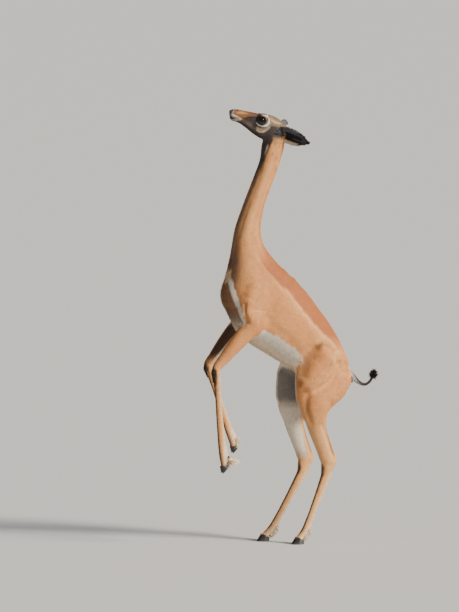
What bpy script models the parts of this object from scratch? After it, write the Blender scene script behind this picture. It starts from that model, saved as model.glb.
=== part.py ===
"""A gerenuk, a long-necked antelope, reared up on its hind legs to browse, at life size.

Metres, +Z up. The animal faces -X and its left side faces -Y. It stands on the floor at z = 0.
The flesh is one skin. Tubes with oval sections along the spine and the legs are joined by a voxel
remesh, and every point is then moved onto one smooth form. Thin cuts part that skin into nodes.
"""

from math import cos, pi, radians, sin

import bmesh
import bpy
import numpy as np
from mathutils import Matrix, Vector

GAP = 0.0003
SKIN_VOXEL = 0.0055
# Triangles for each piece of skin.
BUDGET = {"head": 1450, "neck": 360, "trunk": 1500, "foreleg_left": 500, "foreleg_right": 500,
          "hindleg_left": 700, "hindleg_right": 700}

# Spine, from the root of the tail to the top of the neck.
# Each row: x, z, half depth from belly to back, half width.
SPINE = [
    (0.212, 0.676, 0.046, 0.040),
    (0.196, 0.694, 0.066, 0.056),
    (0.172, 0.722, 0.088, 0.074),
    (0.143, 0.758, 0.101, 0.086),
    (0.105, 0.806, 0.115, 0.095),
    (0.048, 0.861, 0.134, 0.104),
    (-0.007, 0.907, 0.148, 0.109),
    (-0.054, 0.950, 0.160, 0.110),
    (-0.110, 0.995, 0.168, 0.107),
    (-0.152, 1.055, 0.163, 0.098),
    (-0.181, 1.130, 0.136, 0.082),
    (-0.198, 1.205, 0.094, 0.062),
    (-0.208, 1.266, 0.068, 0.051),
    (-0.208, 1.326, 0.057, 0.045),
    (-0.198, 1.372, 0.050, 0.041),
    (-0.176, 1.446, 0.044, 0.037),
    (-0.141, 1.531, 0.043, 0.036),
    (-0.105, 1.622, 0.0425, 0.036),
    (-0.092, 1.688, 0.050, 0.040),
    (-0.080, 1.735, 0.042, 0.037),
]
# The breast bone stands out between the shoulders. Centre, half axes.
BREAST = ((-0.268, 0.0, 1.058), (0.046, 0.048, 0.046))

# Leg joints in order, from the blade or the hip down to inside the hoof.
FORE_JOINTS = {
    "left": [(-0.190, -0.058, 1.085), (-0.238, -0.072, 0.990), (-0.212, -0.084, 0.940),
             (-0.372, -0.070, 0.757), (-0.338, -0.060, 0.381), (-0.331, -0.060, 0.322)],
    "right": [(-0.190, 0.058, 1.085), (-0.238, 0.072, 0.990), (-0.200, 0.084, 0.945),
              (-0.360, 0.070, 0.762), (-0.250, 0.062, 0.433), (-0.245, 0.062, 0.396)],
}
# The hind line runs down inside the flesh: hip, four in the haunch, shank, hock, below the hock,
# fetlock, hoof.
HIND_JOINTS = {
    "left": [(0.118, -0.050, 0.775), (0.105, -0.064, 0.700), (0.098, -0.070, 0.650),
             (0.092, -0.075, 0.608), (0.088, -0.080, 0.566), (0.090, -0.081, 0.500),
             (0.130, -0.078, 0.352), (0.121, -0.078, 0.290), (0.026, -0.077, 0.055),
             (-0.010, -0.077, 0.014)],
    "right": [(0.095, 0.050, 0.775), (0.070, 0.064, 0.700), (0.063, 0.070, 0.648),
              (0.056, 0.075, 0.606), (0.050, 0.080, 0.564), (0.050, 0.081, 0.498),
              (0.086, 0.078, 0.350), (0.072, 0.078, 0.287), (-0.064, 0.078, 0.055),
              (-0.109, 0.078, 0.014)],
}
# Girths along a leg. Each row: place, counted in joints from the first one, depth in front,
# depth behind, half width.
FORE_GIRTHS = [
    (0.0, 0.040, 0.060, 0.030), (1.0, 0.032, 0.062, 0.034), (1.6, 0.030, 0.056, 0.032),
    (2.0, 0.032, 0.046, 0.031), (2.25, 0.036, 0.037, 0.029), (2.5, 0.032, 0.031, 0.025),
    (2.75, 0.026, 0.025, 0.021), (2.92, 0.0205, 0.020, 0.0185), (3.03, 0.019, 0.018, 0.0180),
    (3.12, 0.0165, 0.0148, 0.0150), (3.3, 0.0142, 0.0122, 0.0112), (3.6, 0.0170, 0.0132, 0.0110),
    (3.85, 0.0182, 0.0165, 0.0125), (4.0, 0.0165, 0.0250, 0.0155), (4.4, 0.0135, 0.0185, 0.0140),
    (5.0, 0.0120, 0.0120, 0.0135),
]
HIND_GIRTHS = [
    (0.0, 0.104, 0.105, 0.044), (1.0, 0.121, 0.122, 0.049), (2.0, 0.116, 0.118, 0.050),
    (3.0, 0.109, 0.084, 0.047), (4.0, 0.087, 0.040, 0.041), (4.6, 0.069, 0.027, 0.036),
    (5.0, 0.056, 0.024, 0.032), (5.4, 0.047, 0.027, 0.027), (5.75, 0.039, 0.033, 0.0230),
    (6.0, 0.036, 0.042, 0.0205), (6.35, 0.029, 0.030, 0.0185), (7.0, 0.0235, 0.0235, 0.0160),
    (7.2, 0.0200, 0.0200, 0.0140), (7.4, 0.0175, 0.0175, 0.0122), (7.7, 0.0155, 0.0155, 0.0112),
    (7.9, 0.0162, 0.0180, 0.0130), (8.0, 0.0172, 0.0225, 0.0155), (8.5, 0.0145, 0.0165, 0.0145),
    (9.0, 0.0150, 0.0150, 0.0150),
]

# Head, in its own frame: forward from between the ears, towards its left, up.
HEAD_AT = (-0.077, 0.0, 1.755)
HEAD_PITCH = radians(13.5)
# Rows: forward, up, depth above, depth below, half width.
SKULL = [
    (-0.026, 0.002, 0.024, 0.030, 0.024), (0.000, 0.007, 0.036, 0.036, 0.033),
    (0.035, 0.012, 0.040, 0.040, 0.036), (0.068, 0.014, 0.038, 0.040, 0.034),
    (0.100, 0.019, 0.0280, 0.032, 0.027), (0.130, 0.0225, 0.0225, 0.0250, 0.0210),
    (0.160, 0.0240, 0.0195, 0.0220, 0.0175), (0.188, 0.0230, 0.0200, 0.0205, 0.0170),
    (0.206, 0.0200, 0.0205, 0.0180, 0.0160), (0.214, 0.0165, 0.0165, 0.0150, 0.0125),
]
JAW = [
    (0.020, -0.026, 0.022, 0.026, 0.026), (0.055, -0.029, 0.022, 0.026, 0.024),
    (0.090, -0.023, 0.020, 0.0210, 0.0190), (0.130, -0.0110, 0.014, 0.0150, 0.0140),
    (0.165, -0.0010, 0.010, 0.0115, 0.0115), (0.190, 0.0010, 0.007, 0.0110, 0.0105),
    (0.204, 0.0015, 0.006, 0.0090, 0.0085),
]
# The bony rim above and behind each eye: centre, half axes.
BROW = ((0.074, 0.0290, 0.0310), (0.024, 0.0170, 0.0200))
EYE_AT = (0.084, 0.0290, 0.0200)
EYE_RADIUS = 0.0170

# Ears, in the head's frame: root, tip, and the way the hollow faces.
EARS = {
    "left": ((-0.002, 0.028, -0.013), (-0.112, 0.106, -0.030), (0.25, 0.85, -0.35)),
    "right": ((-0.004, -0.028, -0.008), (-0.087, -0.123, 0.043), (0.75, -0.55, 0.10)),
}
EAR_HALF_WIDTH = 0.033
EAR_CUP = 0.014
EAR_WALL = 0.0046

# Tail, from inside the rump to the end of its tuft. Rows: x, z, radius.
TAIL = [
    (0.205, 0.742, 0.0160), (0.235, 0.727, 0.0160), (0.252, 0.713, 0.0155), (0.267, 0.700, 0.0145),
    (0.281, 0.687, 0.0120), (0.295, 0.675, 0.0090), (0.312, 0.665, 0.0062), (0.331, 0.663, 0.0052),
    (0.347, 0.673, 0.0050), (0.359, 0.690, 0.0056), (0.366, 0.705, 0.0095), (0.377, 0.717, 0.0125),
    (0.389, 0.722, 0.0085), (0.399, 0.722, 0.0040),
]

# A hoof has two toes. Each foot: the tips of its toes, how far they point down, and their size.
FEET = {
    "fore_left": ((-0.342, -0.060, 0.310), radians(48), 0.80),
    "fore_right": ((-0.252, 0.062, 0.381), radians(50), 0.80),
    "hind_left": ((-0.034, -0.077, 0.0), 0.0, 1.0),
    "hind_right": ((-0.133, 0.078, 0.0), 0.0, 1.0),
}
TOE_LENGTH = 0.050
TOE_HALF_WIDTH = 0.0105
TOE_FRONT_HEIGHT = 0.030
TOE_HEEL_HEIGHT = 0.016
TOE_WALL_SLOPE = radians(56)
TOE_SPREAD = 0.0118
DEWCLAW = (0.0050, 0.0045, 0.0085)

COLOURS = {
    "coat": (0.58, 0.34, 0.17, 1.0),
    "hoof": (0.035, 0.030, 0.027, 1.0),
    "eye": (0.012, 0.009, 0.007, 1.0),
    "tuft": (0.030, 0.022, 0.018, 1.0),
}


def clear_scene():
    for item in list(bpy.data.objects):
        bpy.data.objects.remove(item, do_unlink=True)


# Tubes: a centre line with an oval section at every station.

def eased(places, values, step, reach):
    """Values at even steps along a line, each the weighted mean of those within reach of it."""
    places = np.asarray(places, float)
    values = np.asarray(values, float)
    steps = int(round(places[-1] / step))
    wide = int(round(reach / step))
    at = np.linspace(0.0, places[-1], steps + 1)
    even = np.stack([np.interp(at, places, column) for column in values.T], axis=1)
    ahead = np.arange(1, wide + 1)[:, None]
    before = even[0] - (even[1] - even[0]) * ahead[::-1]
    after = even[-1] + (even[-1] - even[-2]) * ahead
    before[:, 3:] = even[0, 3:]
    after[:, 3:] = even[-1, 3:]
    padded = np.vstack([before, even, after])
    weights = np.cos(np.linspace(-pi / 2, pi / 2, 2 * wide + 3))[1:-1] ** 2
    weights /= weights.sum()
    return np.stack([np.convolve(column, weights, "valid") for column in padded.T], axis=1)


def make_tube(rows, turn, reach=0.03, step=0.006, power=2.0):
    """Rows of x, y, z, front depth, back depth, half width, made even and given frames.

    The front of a section lies in the upright plane of the line, on the side that turn says."""
    rows = np.asarray(rows, float)
    places = np.concatenate([[0.0], np.cumsum(np.linalg.norm(np.diff(rows[:, :3], axis=0), axis=1))])
    even = eased(places, rows, step, reach)
    along = np.gradient(even[:, :3], axis=0)
    along /= np.linalg.norm(along, axis=1, keepdims=True)
    front = turn * np.stack([along[:, 2], np.zeros(len(along)), -along[:, 0]], axis=1)
    front /= np.linalg.norm(front, axis=1, keepdims=True)
    side = np.cross(along, front)
    side /= np.linalg.norm(side, axis=1, keepdims=True)
    pace = np.linalg.norm(np.diff(even[:, :3], axis=0), axis=1).mean()
    return {"centre": even[:, :3], "along": along, "front": front, "side": side,
            "girth": even[:, 3:6], "pace": pace, "power": power}


def tube_distance(points, tube):
    """Signed distance, right near the surface: (q - 1) / |gradient of q|, where q is 1 on the oval."""
    centre, pace, power = tube["centre"], tube["pace"], tube["power"]
    nearest = np.empty(len(points), int)
    for start in range(0, len(points), 8192):
        block = points[start:start + 8192]
        spread = (block ** 2).sum(1)[:, None] - 2 * block @ centre.T + (centre ** 2).sum(1)[None]
        nearest[start:start + 8192] = spread.argmin(1)
    ahead = ((points - centre[nearest]) * tube["along"][nearest]).sum(1) / pace
    place = np.clip(nearest + np.clip(ahead, -0.5, 0.5), 0, len(centre) - 1)
    low = np.minimum(place.astype(int), len(centre) - 2)
    part = (place - low)[:, None]
    blend = {key: tube[key][low] * (1 - part) + tube[key][low + 1] * part
             for key in ("centre", "along", "front", "side", "girth")}
    away = points - blend["centre"]
    u = (away * blend["front"]).sum(1)
    v = (away * blend["side"]).sum(1)
    w = (away * blend["along"]).sum(1)
    girth = blend["girth"]
    radius_u = np.where(u > 0, girth[:, 0], girth[:, 1])
    radius_v = girth[:, 2]
    radius_w = girth.min(1)
    inside = (place > 0.01) & (place < len(centre) - 1.01)
    w = np.where(inside, 0.0, w)
    parts = [np.abs(u) / radius_u, np.abs(v) / radius_v, np.abs(w) / radius_w]
    q = np.maximum(sum(p ** power for p in parts) ** (1 / power), 1e-6)
    slope = sum(((p / q) ** (power - 1) / r) ** 2 for p, r in zip(parts, (radius_u, radius_v, radius_w)))
    return (q - 1) / np.sqrt(np.maximum(slope, 1e-9))


def ball_distance(points, ball):
    """Signed distance to an egg shape given by its centre, three half axes and its frame."""
    local = (points - ball["centre"]) @ ball["frame"].T / ball["half"]
    q = np.maximum(np.linalg.norm(local, axis=1), 1e-6)
    slope = np.linalg.norm(local / ball["half"], axis=1) / q
    return (q - 1) / np.maximum(slope, 1e-9)


def make_ball(centre, half, ahead=(1.0, 0.0, 0.0), up=(0.0, 0.0, 1.0)):
    ahead = np.asarray(ahead, float) / np.linalg.norm(ahead)
    side = np.cross(np.asarray(up, float), ahead)
    side /= np.linalg.norm(side)
    frame = np.stack([ahead, side, np.cross(ahead, side)])
    return {"centre": np.asarray(centre, float), "half": np.asarray(half, float), "frame": frame}


def join(first, second, soft):
    """The nearer of two surfaces, with a fillet about as wide as soft where they cross."""
    share = np.clip(0.5 + 0.5 * (second - first) / soft, 0.0, 1.0)
    return second * (1 - share) + first * share - soft * share * (1 - share)


def carve(first, second, soft):
    return -join(-first, second, soft)


# The animal's own tubes.

def spine_tube():
    rows = [(x, 0.0, z, depth, depth, half) for x, z, depth, half in SPINE]
    return make_tube(rows, turn=-1, reach=0.050, power=2.15)


def leg_tube(joints, girths):
    joints = np.asarray(joints, float)
    table = np.asarray(girths, float)
    at = np.union1d(np.linspace(0, len(joints) - 1, 12 * (len(joints) - 1) + 1), table[:, 0])
    line = [np.interp(at, np.arange(len(joints)), joints[:, axis]) for axis in range(3)]
    girth = [np.interp(at, table[:, 0], table[:, column]) for column in (1, 2, 3)]
    return make_tube(np.stack(line + girth, axis=1), turn=1, reach=0.022, step=0.005)


def tail_tube():
    rows = [(x, 0.0, z, radius, radius, radius) for x, z, radius in TAIL]
    return make_tube(rows, turn=1, reach=0.012, step=0.004)


def head_frame():
    """Rows: the directions forward, left and up of the head."""
    forward = (-cos(HEAD_PITCH), 0.0, sin(HEAD_PITCH))
    up = (sin(HEAD_PITCH), 0.0, cos(HEAD_PITCH))
    return np.array([forward, (0.0, -1.0, 0.0), up])


def on_head(place):
    return np.asarray(HEAD_AT) + np.asarray(place, float) @ head_frame()


def head_tube(rows):
    placed = [(*on_head((ahead, 0.0, up)), above, below, half) for ahead, up, above, below, half in rows]
    return make_tube(placed, turn=1, reach=0.012, step=0.004)


def make_form():
    """Every tube and ball of the flesh, with the softness of its join to what comes before it."""
    form = [("tube", spine_tube(), 0.0)]
    for girths, joints, soft in ((FORE_GIRTHS, FORE_JOINTS, 0.030), (HIND_GIRTHS, HIND_JOINTS, 0.040)):
        for side in ("left", "right"):
            form.append(("tube", leg_tube(joints[side], girths), soft))
    form.append(("ball", make_ball(*BREAST), 0.050))
    form.append(("tube", head_tube(SKULL), 0.022))
    form.append(("tube", head_tube(JAW), 0.014))
    for which in (1, -1):
        (ahead, aside, above), half = BROW
        brow = make_ball(on_head((ahead, which * aside, above)), half, ahead=head_frame()[0])
        form.append(("ball", brow, 0.014))
    return form


def form_distance(points, form):
    total = None
    for kind, shape, soft in form:
        centres = shape["centre"].reshape(-1, 3)
        margin = (shape["girth"] if kind == "tube" else shape["half"]).max() + 0.08
        near = np.all((points > centres.min(0) - margin) & (points < centres.max(0) + margin), axis=1)
        distance = np.full(len(points), 1.0)
        if near.any():
            measure = tube_distance if kind == "tube" else ball_distance
            distance[near] = measure(points[near], shape)
        total = distance if total is None else join(total, distance, soft)
    return total


def form_slope(points, form, step=0.0004):
    slope = np.empty_like(points)
    for axis in range(3):
        shift = np.zeros(3)
        shift[axis] = step
        slope[:, axis] = form_distance(points + shift, form) - form_distance(points - shift, form)
    return slope / (2 * step)


def settle(points, form, rounds=4):
    """Points moved onto the form, by steps of distance over slope along the slope."""
    points = points.copy()
    for _ in range(rounds):
        distance = form_distance(points, form)
        slope = form_slope(points, form)
        move = distance / np.maximum((slope ** 2).sum(1), 0.2)
        points -= np.clip(move, -0.012, 0.012)[:, None] * slope
    return points


# Meshes.

def new_object(name, mesh):
    item = bpy.data.objects.new(name, mesh)
    bpy.context.scene.collection.objects.link(item)
    return item


def object_from_bmesh(name, shape):
    bmesh.ops.triangulate(shape, faces=shape.faces)
    bmesh.ops.recalc_face_normals(shape, faces=shape.faces)
    if shape.calc_volume(signed=True) < 0:
        bmesh.ops.reverse_faces(shape, faces=shape.faces)
    mesh = bpy.data.meshes.new(name)
    shape.to_mesh(mesh)
    shape.free()
    return new_object(name, mesh)


def closed_loft(name, rings):
    """Rings of points joined by quads, with a flat cap on each end."""
    shape = bmesh.new()
    loops = [[shape.verts.new(point) for point in ring] for ring in rings]
    for here, there in zip(loops, loops[1:]):
        for i in range(len(here)):
            j = (i + 1) % len(here)
            shape.faces.new((here[i], here[j], there[j], there[i]))
    shape.faces.new(loops[0][::-1])
    shape.faces.new(loops[-1])
    return object_from_bmesh(name, shape)


def tube_object(name, tube, sides=16, every=3):
    picks = list(range(0, len(tube["centre"]), every))
    if picks[-1] != len(tube["centre"]) - 1:
        picks.append(len(tube["centre"]) - 1)
    rings = []
    for pick in picks:
        front, back, half = tube["girth"][pick]
        ring = []
        for turn in np.linspace(0, 2 * pi, sides, endpoint=False):
            depth = front if cos(turn) > 0 else back
            ring.append(tube["centre"][pick] + tube["front"][pick] * depth * cos(turn)
                        + tube["side"][pick] * half * sin(turn))
        rings.append(ring)
    return closed_loft(name, rings)


def apply_modifiers(item):
    graph = bpy.context.evaluated_depsgraph_get()
    graph.update()
    mesh = bpy.data.meshes.new_from_object(item.evaluated_get(graph))
    item.modifiers.clear()
    old = item.data
    item.data = mesh
    bpy.data.meshes.remove(old)


def joined(name, items):
    shape = bmesh.new()
    for item in items:
        shape.from_mesh(item.data)
        bpy.data.objects.remove(item, do_unlink=True)
    return object_from_bmesh(name, shape)


def read_points(item):
    points = np.empty(3 * len(item.data.vertices))
    item.data.vertices.foreach_get("co", points)
    return points.reshape(-1, 3)


def write_points(item, points):
    item.data.vertices.foreach_set("co", np.asarray(points, np.float32).ravel())
    item.data.update()


def remesh(item):
    even = item.modifiers.new("even", "REMESH")
    even.mode = "VOXEL"
    even.voxel_size = SKIN_VOXEL
    even.use_smooth_shade = True
    apply_modifiers(item)


def make_skin(form):
    skin = joined("skin", [tube_object(f"tube_{i}", shape)
                           for i, (kind, shape, _) in enumerate(form) if kind == "tube"])
    remesh(skin)
    write_points(skin, settle(read_points(skin), form))
    remesh(skin)
    relax = skin.modifiers.new("relax", "SMOOTH")
    relax.factor = 0.4
    relax.iterations = 2
    apply_modifiers(skin)
    triangulate(skin)
    return skin


def triangulate(item):
    shape = bmesh.new()
    shape.from_mesh(item.data)
    bmesh.ops.triangulate(shape, faces=shape.faces)
    shape.to_mesh(item.data)
    shape.free()


def thin_out(item, triangles):
    triangulate(item)
    thin = item.modifiers.new("thin", "DECIMATE")
    thin.ratio = triangles / len(item.data.polygons)
    thin.use_collapse_triangulate = True
    apply_modifiers(item)


# Cutting.

def subtract(item, cutter):
    """The cutter stays in the scene, hidden, as the record of the cut."""
    cut = item.modifiers.new("cut", "BOOLEAN")
    cut.operation = "DIFFERENCE"
    cut.solver = "EXACT"
    cut.object = cutter
    apply_modifiers(item)


def discard(item):
    bpy.data.objects.remove(item, do_unlink=True)


def slab(centre, normal, size, thickness=GAP):
    """A thin square plate across the given direction."""
    shape = bmesh.new()
    bmesh.ops.create_cube(shape, size=1.0)
    bmesh.ops.scale(shape, vec=(size[0], size[1], thickness), verts=shape.verts)
    turn = Vector(normal).to_track_quat("Z", "X").to_matrix().to_4x4()
    bmesh.ops.transform(shape, matrix=Matrix.Translation(centre) @ turn, verts=shape.verts)
    return object_from_bmesh("plate", shape)


def loose_parts(item):
    """The separate closed bodies of an object, each as an object of its own."""
    shape = bmesh.new()
    shape.from_mesh(item.data)
    unseen = set(shape.verts)
    groups = []
    while unseen:
        front = [unseen.pop()]
        group = set(front)
        while front:
            vertex = front.pop()
            for edge in vertex.link_edges:
                other = edge.other_vert(vertex)
                if other in unseen:
                    unseen.discard(other)
                    group.add(other)
                    front.append(other)
        groups.append(group)
    parts = []
    for group in groups:
        piece = bmesh.new()
        made = {vertex: piece.verts.new(vertex.co) for vertex in group}
        for face in {face for vertex in group for face in vertex.link_faces}:
            piece.faces.new([made[vertex] for vertex in face.verts])
        parts.append(object_from_bmesh("piece", piece))
    shape.free()
    discard(item)
    return parts


# Ears, hooves, dewclaws and eyes.

def ear_point(root, tip, hollow, along, across, depth):
    """A place on the ear: along it from 0 to 1, across from -1 to 1, depth from 0 inside to 1 outside.

    Its width swells as a sine of the way along to the power 0.72, and the middle is cupped."""
    axis = tip - root
    length = np.linalg.norm(axis)
    axis = axis / length
    face = hollow - axis * (hollow @ axis)
    face = face / np.linalg.norm(face)
    wide = np.cross(face, axis)
    swell = 0.30 * (1 - along) ** 3 + max(sin(pi * along ** 0.76), 0.0) ** 0.72
    width = EAR_HALF_WIDTH * min(swell, 1.0) + 0.0012
    cup = EAR_CUP * (1.35 - 0.95 * along) * min(1.0, width / EAR_HALF_WIDTH + 0.25)
    wall = EAR_WALL * (1.25 - 0.75 * along) * (1 - 0.75 * across ** 2)
    out = cup * (1 - across ** 2) + wall * (depth - 0.5)
    return root + axis * along * length + wide * width * across - face * out


def make_ear(name, side, rows=11, columns=6):
    root, tip, hollow = EARS[side]
    root, tip, hollow = on_head(root), on_head(tip), np.asarray(hollow) @ head_frame()
    rings = []
    for along in np.linspace(0.0, 1.0, rows):
        across = np.sin(np.linspace(-pi / 2, pi / 2, columns))
        inner = [ear_point(root, tip, hollow, along, a, 0.0) for a in across]
        outer = [ear_point(root, tip, hollow, along, a, 1.0) for a in across[::-1]]
        rings.append(inner + outer)
    return closed_loft(name, rings)


def foot_frame(foot):
    """Centre of the sole, and the directions forward and up of the foot."""
    tip, pitch, size = FEET[foot]
    forward = np.array([-cos(pitch), 0.0, -sin(pitch)])
    up = np.array([-sin(pitch), 0.0, cos(pitch)])
    return np.asarray(tip) - forward * size * TOE_LENGTH / 2, forward, up, size


def coronet(foot):
    """The plane where skin and hoof meet: a point on it and its direction, up the leg."""
    centre, forward, up, size = foot_frame(foot)
    front = TOE_LENGTH / 2 - TOE_FRONT_HEIGHT / np.tan(TOE_WALL_SLOPE)
    heel = -TOE_LENGTH / 2 + 0.003
    rise = np.array([front - heel, TOE_FRONT_HEIGHT - TOE_HEEL_HEIGHT])
    rise /= np.linalg.norm(rise)
    middle_height = (TOE_FRONT_HEIGHT + TOE_HEEL_HEIGHT) / 2
    place = centre + (forward * (front + heel) / 2 + up * middle_height) * size
    return place, forward * -rise[1] + up * rise[0]


def make_toe(name, foot, which):
    """One toe: D-shaped soles stacked up to the coronet, sloping back like the front wall."""
    centre, forward, up, size = foot_frame(foot)
    plane, normal = coronet(foot)
    plane = plane - normal * GAP
    rings = []
    for level in (0.0, 0.12, 0.5, 1.0):
        ring = []
        for turn in np.linspace(0, 2 * pi, 14, endpoint=False):
            ahead = cos(turn) * TOE_LENGTH / 2 * (0.97 if level == 0.0 else 1.0)
            narrow = 1.0 - 0.50 * max(0.0, cos(turn)) ** 1.6
            aside = sin(turn) * TOE_HALF_WIDTH * narrow * (0.72 if sin(turn) < 0 else 1.0)
            base = centre + forward * ahead * size
            # The wall rises along its slope in front and straight up at the heel.
            lean = np.clip(ahead / TOE_LENGTH + 0.5, 0.0, 1.0) / np.tan(TOE_WALL_SLOPE)
            rise = up - forward * lean
            height = ((plane - base) @ normal) / (rise @ normal)
            point = base + rise * height * level
            outward = which * (TOE_SPREAD + aside * (1 - 0.10 * level)) * size
            ring.append(point + np.array([0.0, outward, 0.0]))
        rings.append(ring)
    return closed_loft(name, rings)


def ball_object(name, ball, segments=14, rings=8):
    shape = bmesh.new()
    bmesh.ops.create_uvsphere(shape, u_segments=segments, v_segments=rings, radius=1.0)
    for vertex in shape.verts:
        vertex.co = ball["centre"] + np.array(vertex.co) * ball["half"] @ ball["frame"]
    return object_from_bmesh(name, shape)


def dewclaw_ball(tube, fetlock, which):
    """A small horny claw behind the fetlock."""
    at = np.linalg.norm(tube["centre"] - np.asarray(fetlock), axis=1).argmin() + 1
    place = (tube["centre"][at] - tube["front"][at] * (tube["girth"][at, 1] + 0.001)
             + tube["side"][at] * which * 0.0085)
    return make_ball(place, DEWCLAW[::-1], ahead=tube["along"][at] - 0.5 * tube["front"][at])


# Nodes.

def paint(item, colour, roughness):
    material = bpy.data.materials.new(f"{item.name}_material")
    material.use_nodes = True
    shader = material.node_tree.nodes["Principled BSDF"]
    shader.inputs["Base Color"].default_value = COLOURS[colour]
    shader.inputs["Roughness"].default_value = roughness
    item.data.materials.clear()
    item.data.materials.append(material)


def make_room(item, other):
    """Take a slightly swollen copy of another solid out of this one, so that they meet with a gap."""
    shape = bmesh.new()
    shape.from_mesh(other.data)
    shape.normal_update()
    moves = [vertex.normal * GAP * 1.6 for vertex in shape.verts]
    for vertex, move in zip(shape.verts, moves):
        vertex.co += move
    room = object_from_bmesh("room", shape)
    subtract(item, room)
    discard(room)


def cut_skin(skin):
    """Thin plates part the skin. Each plate: point, direction, size."""
    plates = {
        "head": ((-0.090, 0.0, 1.690), (0.0, 0.0, 1.0), (0.20, 0.20)),
        "neck": ((-0.219, 0.0, 1.232), (0.0, 0.0, 1.0), (0.30, 0.30)),
        "forelegs": ((-0.252, 0.0, 0.904), (-0.70, 0.0, -0.71), (0.24, 0.34)),
        "hindlegs": ((0.070, 0.0, 0.630), (0.0, 0.0, 1.0), (0.50, 0.40)),
    }
    for place, normal, size in plates.values():
        plate = slab(place, normal, size)
        subtract(skin, plate)
        discard(plate)
    for foot in FEET:
        place, normal = coronet(foot)
        block = slab(Vector(place - normal * 0.03), normal, (0.09, 0.07), thickness=0.06)
        subtract(skin, block)
        discard(block)
    return loose_parts(skin)


def middle(item):
    points = read_points(item)
    return (points.min(0) + points.max(0)) / 2


def name_pieces(pieces):
    """Each piece of skin is known by where the middle of its box lies."""
    named = {}
    for piece in sorted(pieces, key=lambda item: len(item.data.vertices), reverse=True):
        x, y, z = middle(piece)
        side = "left" if y < 0 else "right"
        if z > 1.70:
            name = "head"
        elif z > 1.30:
            name = "neck"
        elif abs(y) < 0.02:
            name = "trunk"
        elif x < -0.20:
            name = f"foreleg_{side}"
        else:
            name = f"hindleg_{side}"
        if name in named:
            raise ValueError(f"a second piece of skin for {name}: {x:.3f} {y:.3f} {z:.3f}")
        piece.name = name
        piece.data.name = name
        thin_out(piece, BUDGET[name])
        named[name] = piece
    return named


def main():
    clear_scene()
    form = make_form()
    nodes = name_pieces(cut_skin(make_skin(form)))
    nodes["tail"] = tube_object("tail", tail_tube(), 10, 4)
    make_room(nodes["trunk"], nodes["tail"])
    for side, which in (("left", 1), ("right", -1)):
        eye = make_ball(on_head((EYE_AT[0], which * EYE_AT[1], EYE_AT[2])), [EYE_RADIUS] * 3)
        nodes[f"eye_{side}"] = ball_object(f"eye_{side}", eye)
        nodes[f"ear_{side}"] = make_ear(f"ear_{side}", side)
        make_room(nodes["head"], nodes[f"eye_{side}"])
        make_room(nodes["head"], nodes[f"ear_{side}"])
    for limb, joints, girths in (("fore", FORE_JOINTS, FORE_GIRTHS), ("hind", HIND_JOINTS, HIND_GIRTHS)):
        for side in ("left", "right"):
            foot = f"{limb}_{side}"
            tube = leg_tube(joints[side], girths)
            inward = 1 if side == "left" else -1
            for place, which in (("inner", inward), ("outer", -inward)):
                nodes[f"hoof_{foot}_{place}"] = make_toe(f"hoof_{foot}_{place}", foot, which)
                name = f"dewclaw_{foot}_{place}"
                nodes[name] = ball_object(name, dewclaw_ball(tube, joints[side][-2], which), 8, 5)
                make_room(nodes[f"{limb}leg_{side}"], nodes[name])
    for name, item in nodes.items():
        if name.startswith("eye"):
            paint(item, "eye", 0.08)
        elif name.startswith(("hoof", "dewclaw")):
            paint(item, "hoof", 0.45)
        else:
            paint(item, "coat", 0.75)


main()
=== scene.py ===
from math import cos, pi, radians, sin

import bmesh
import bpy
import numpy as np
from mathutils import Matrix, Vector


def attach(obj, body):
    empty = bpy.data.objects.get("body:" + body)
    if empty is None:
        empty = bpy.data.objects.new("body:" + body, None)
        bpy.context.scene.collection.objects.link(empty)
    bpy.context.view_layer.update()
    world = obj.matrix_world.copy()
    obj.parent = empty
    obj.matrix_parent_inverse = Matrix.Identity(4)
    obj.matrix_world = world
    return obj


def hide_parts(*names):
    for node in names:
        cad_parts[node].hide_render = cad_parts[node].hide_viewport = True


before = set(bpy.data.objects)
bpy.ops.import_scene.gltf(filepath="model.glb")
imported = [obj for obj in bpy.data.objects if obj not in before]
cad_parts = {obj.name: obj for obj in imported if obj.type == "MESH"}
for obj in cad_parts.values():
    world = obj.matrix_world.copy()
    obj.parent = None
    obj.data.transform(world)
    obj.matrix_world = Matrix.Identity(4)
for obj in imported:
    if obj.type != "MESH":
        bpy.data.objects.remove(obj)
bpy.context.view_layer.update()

# The looks of a gerenuk that has reared up on its hind legs.
# Metres, +Z up. It faces -X and its left side faces -Y. Paths and tables of
# girths are in millimetres, single places and sizes in metres.
# One skin is settled onto a smooth form, and a coat of thin tufts lies over it.

BODY_VOXEL = 0.005
HEAD_VOXEL = 0.00142
SKIN_TRIANGLES = 196000
COAT_SHARE = 0.94
NECK_CUT = 1.655
NECK_GAP = 0.0015
HEAD_FROM = 1.7  # what lies above this height belongs to the head

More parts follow.
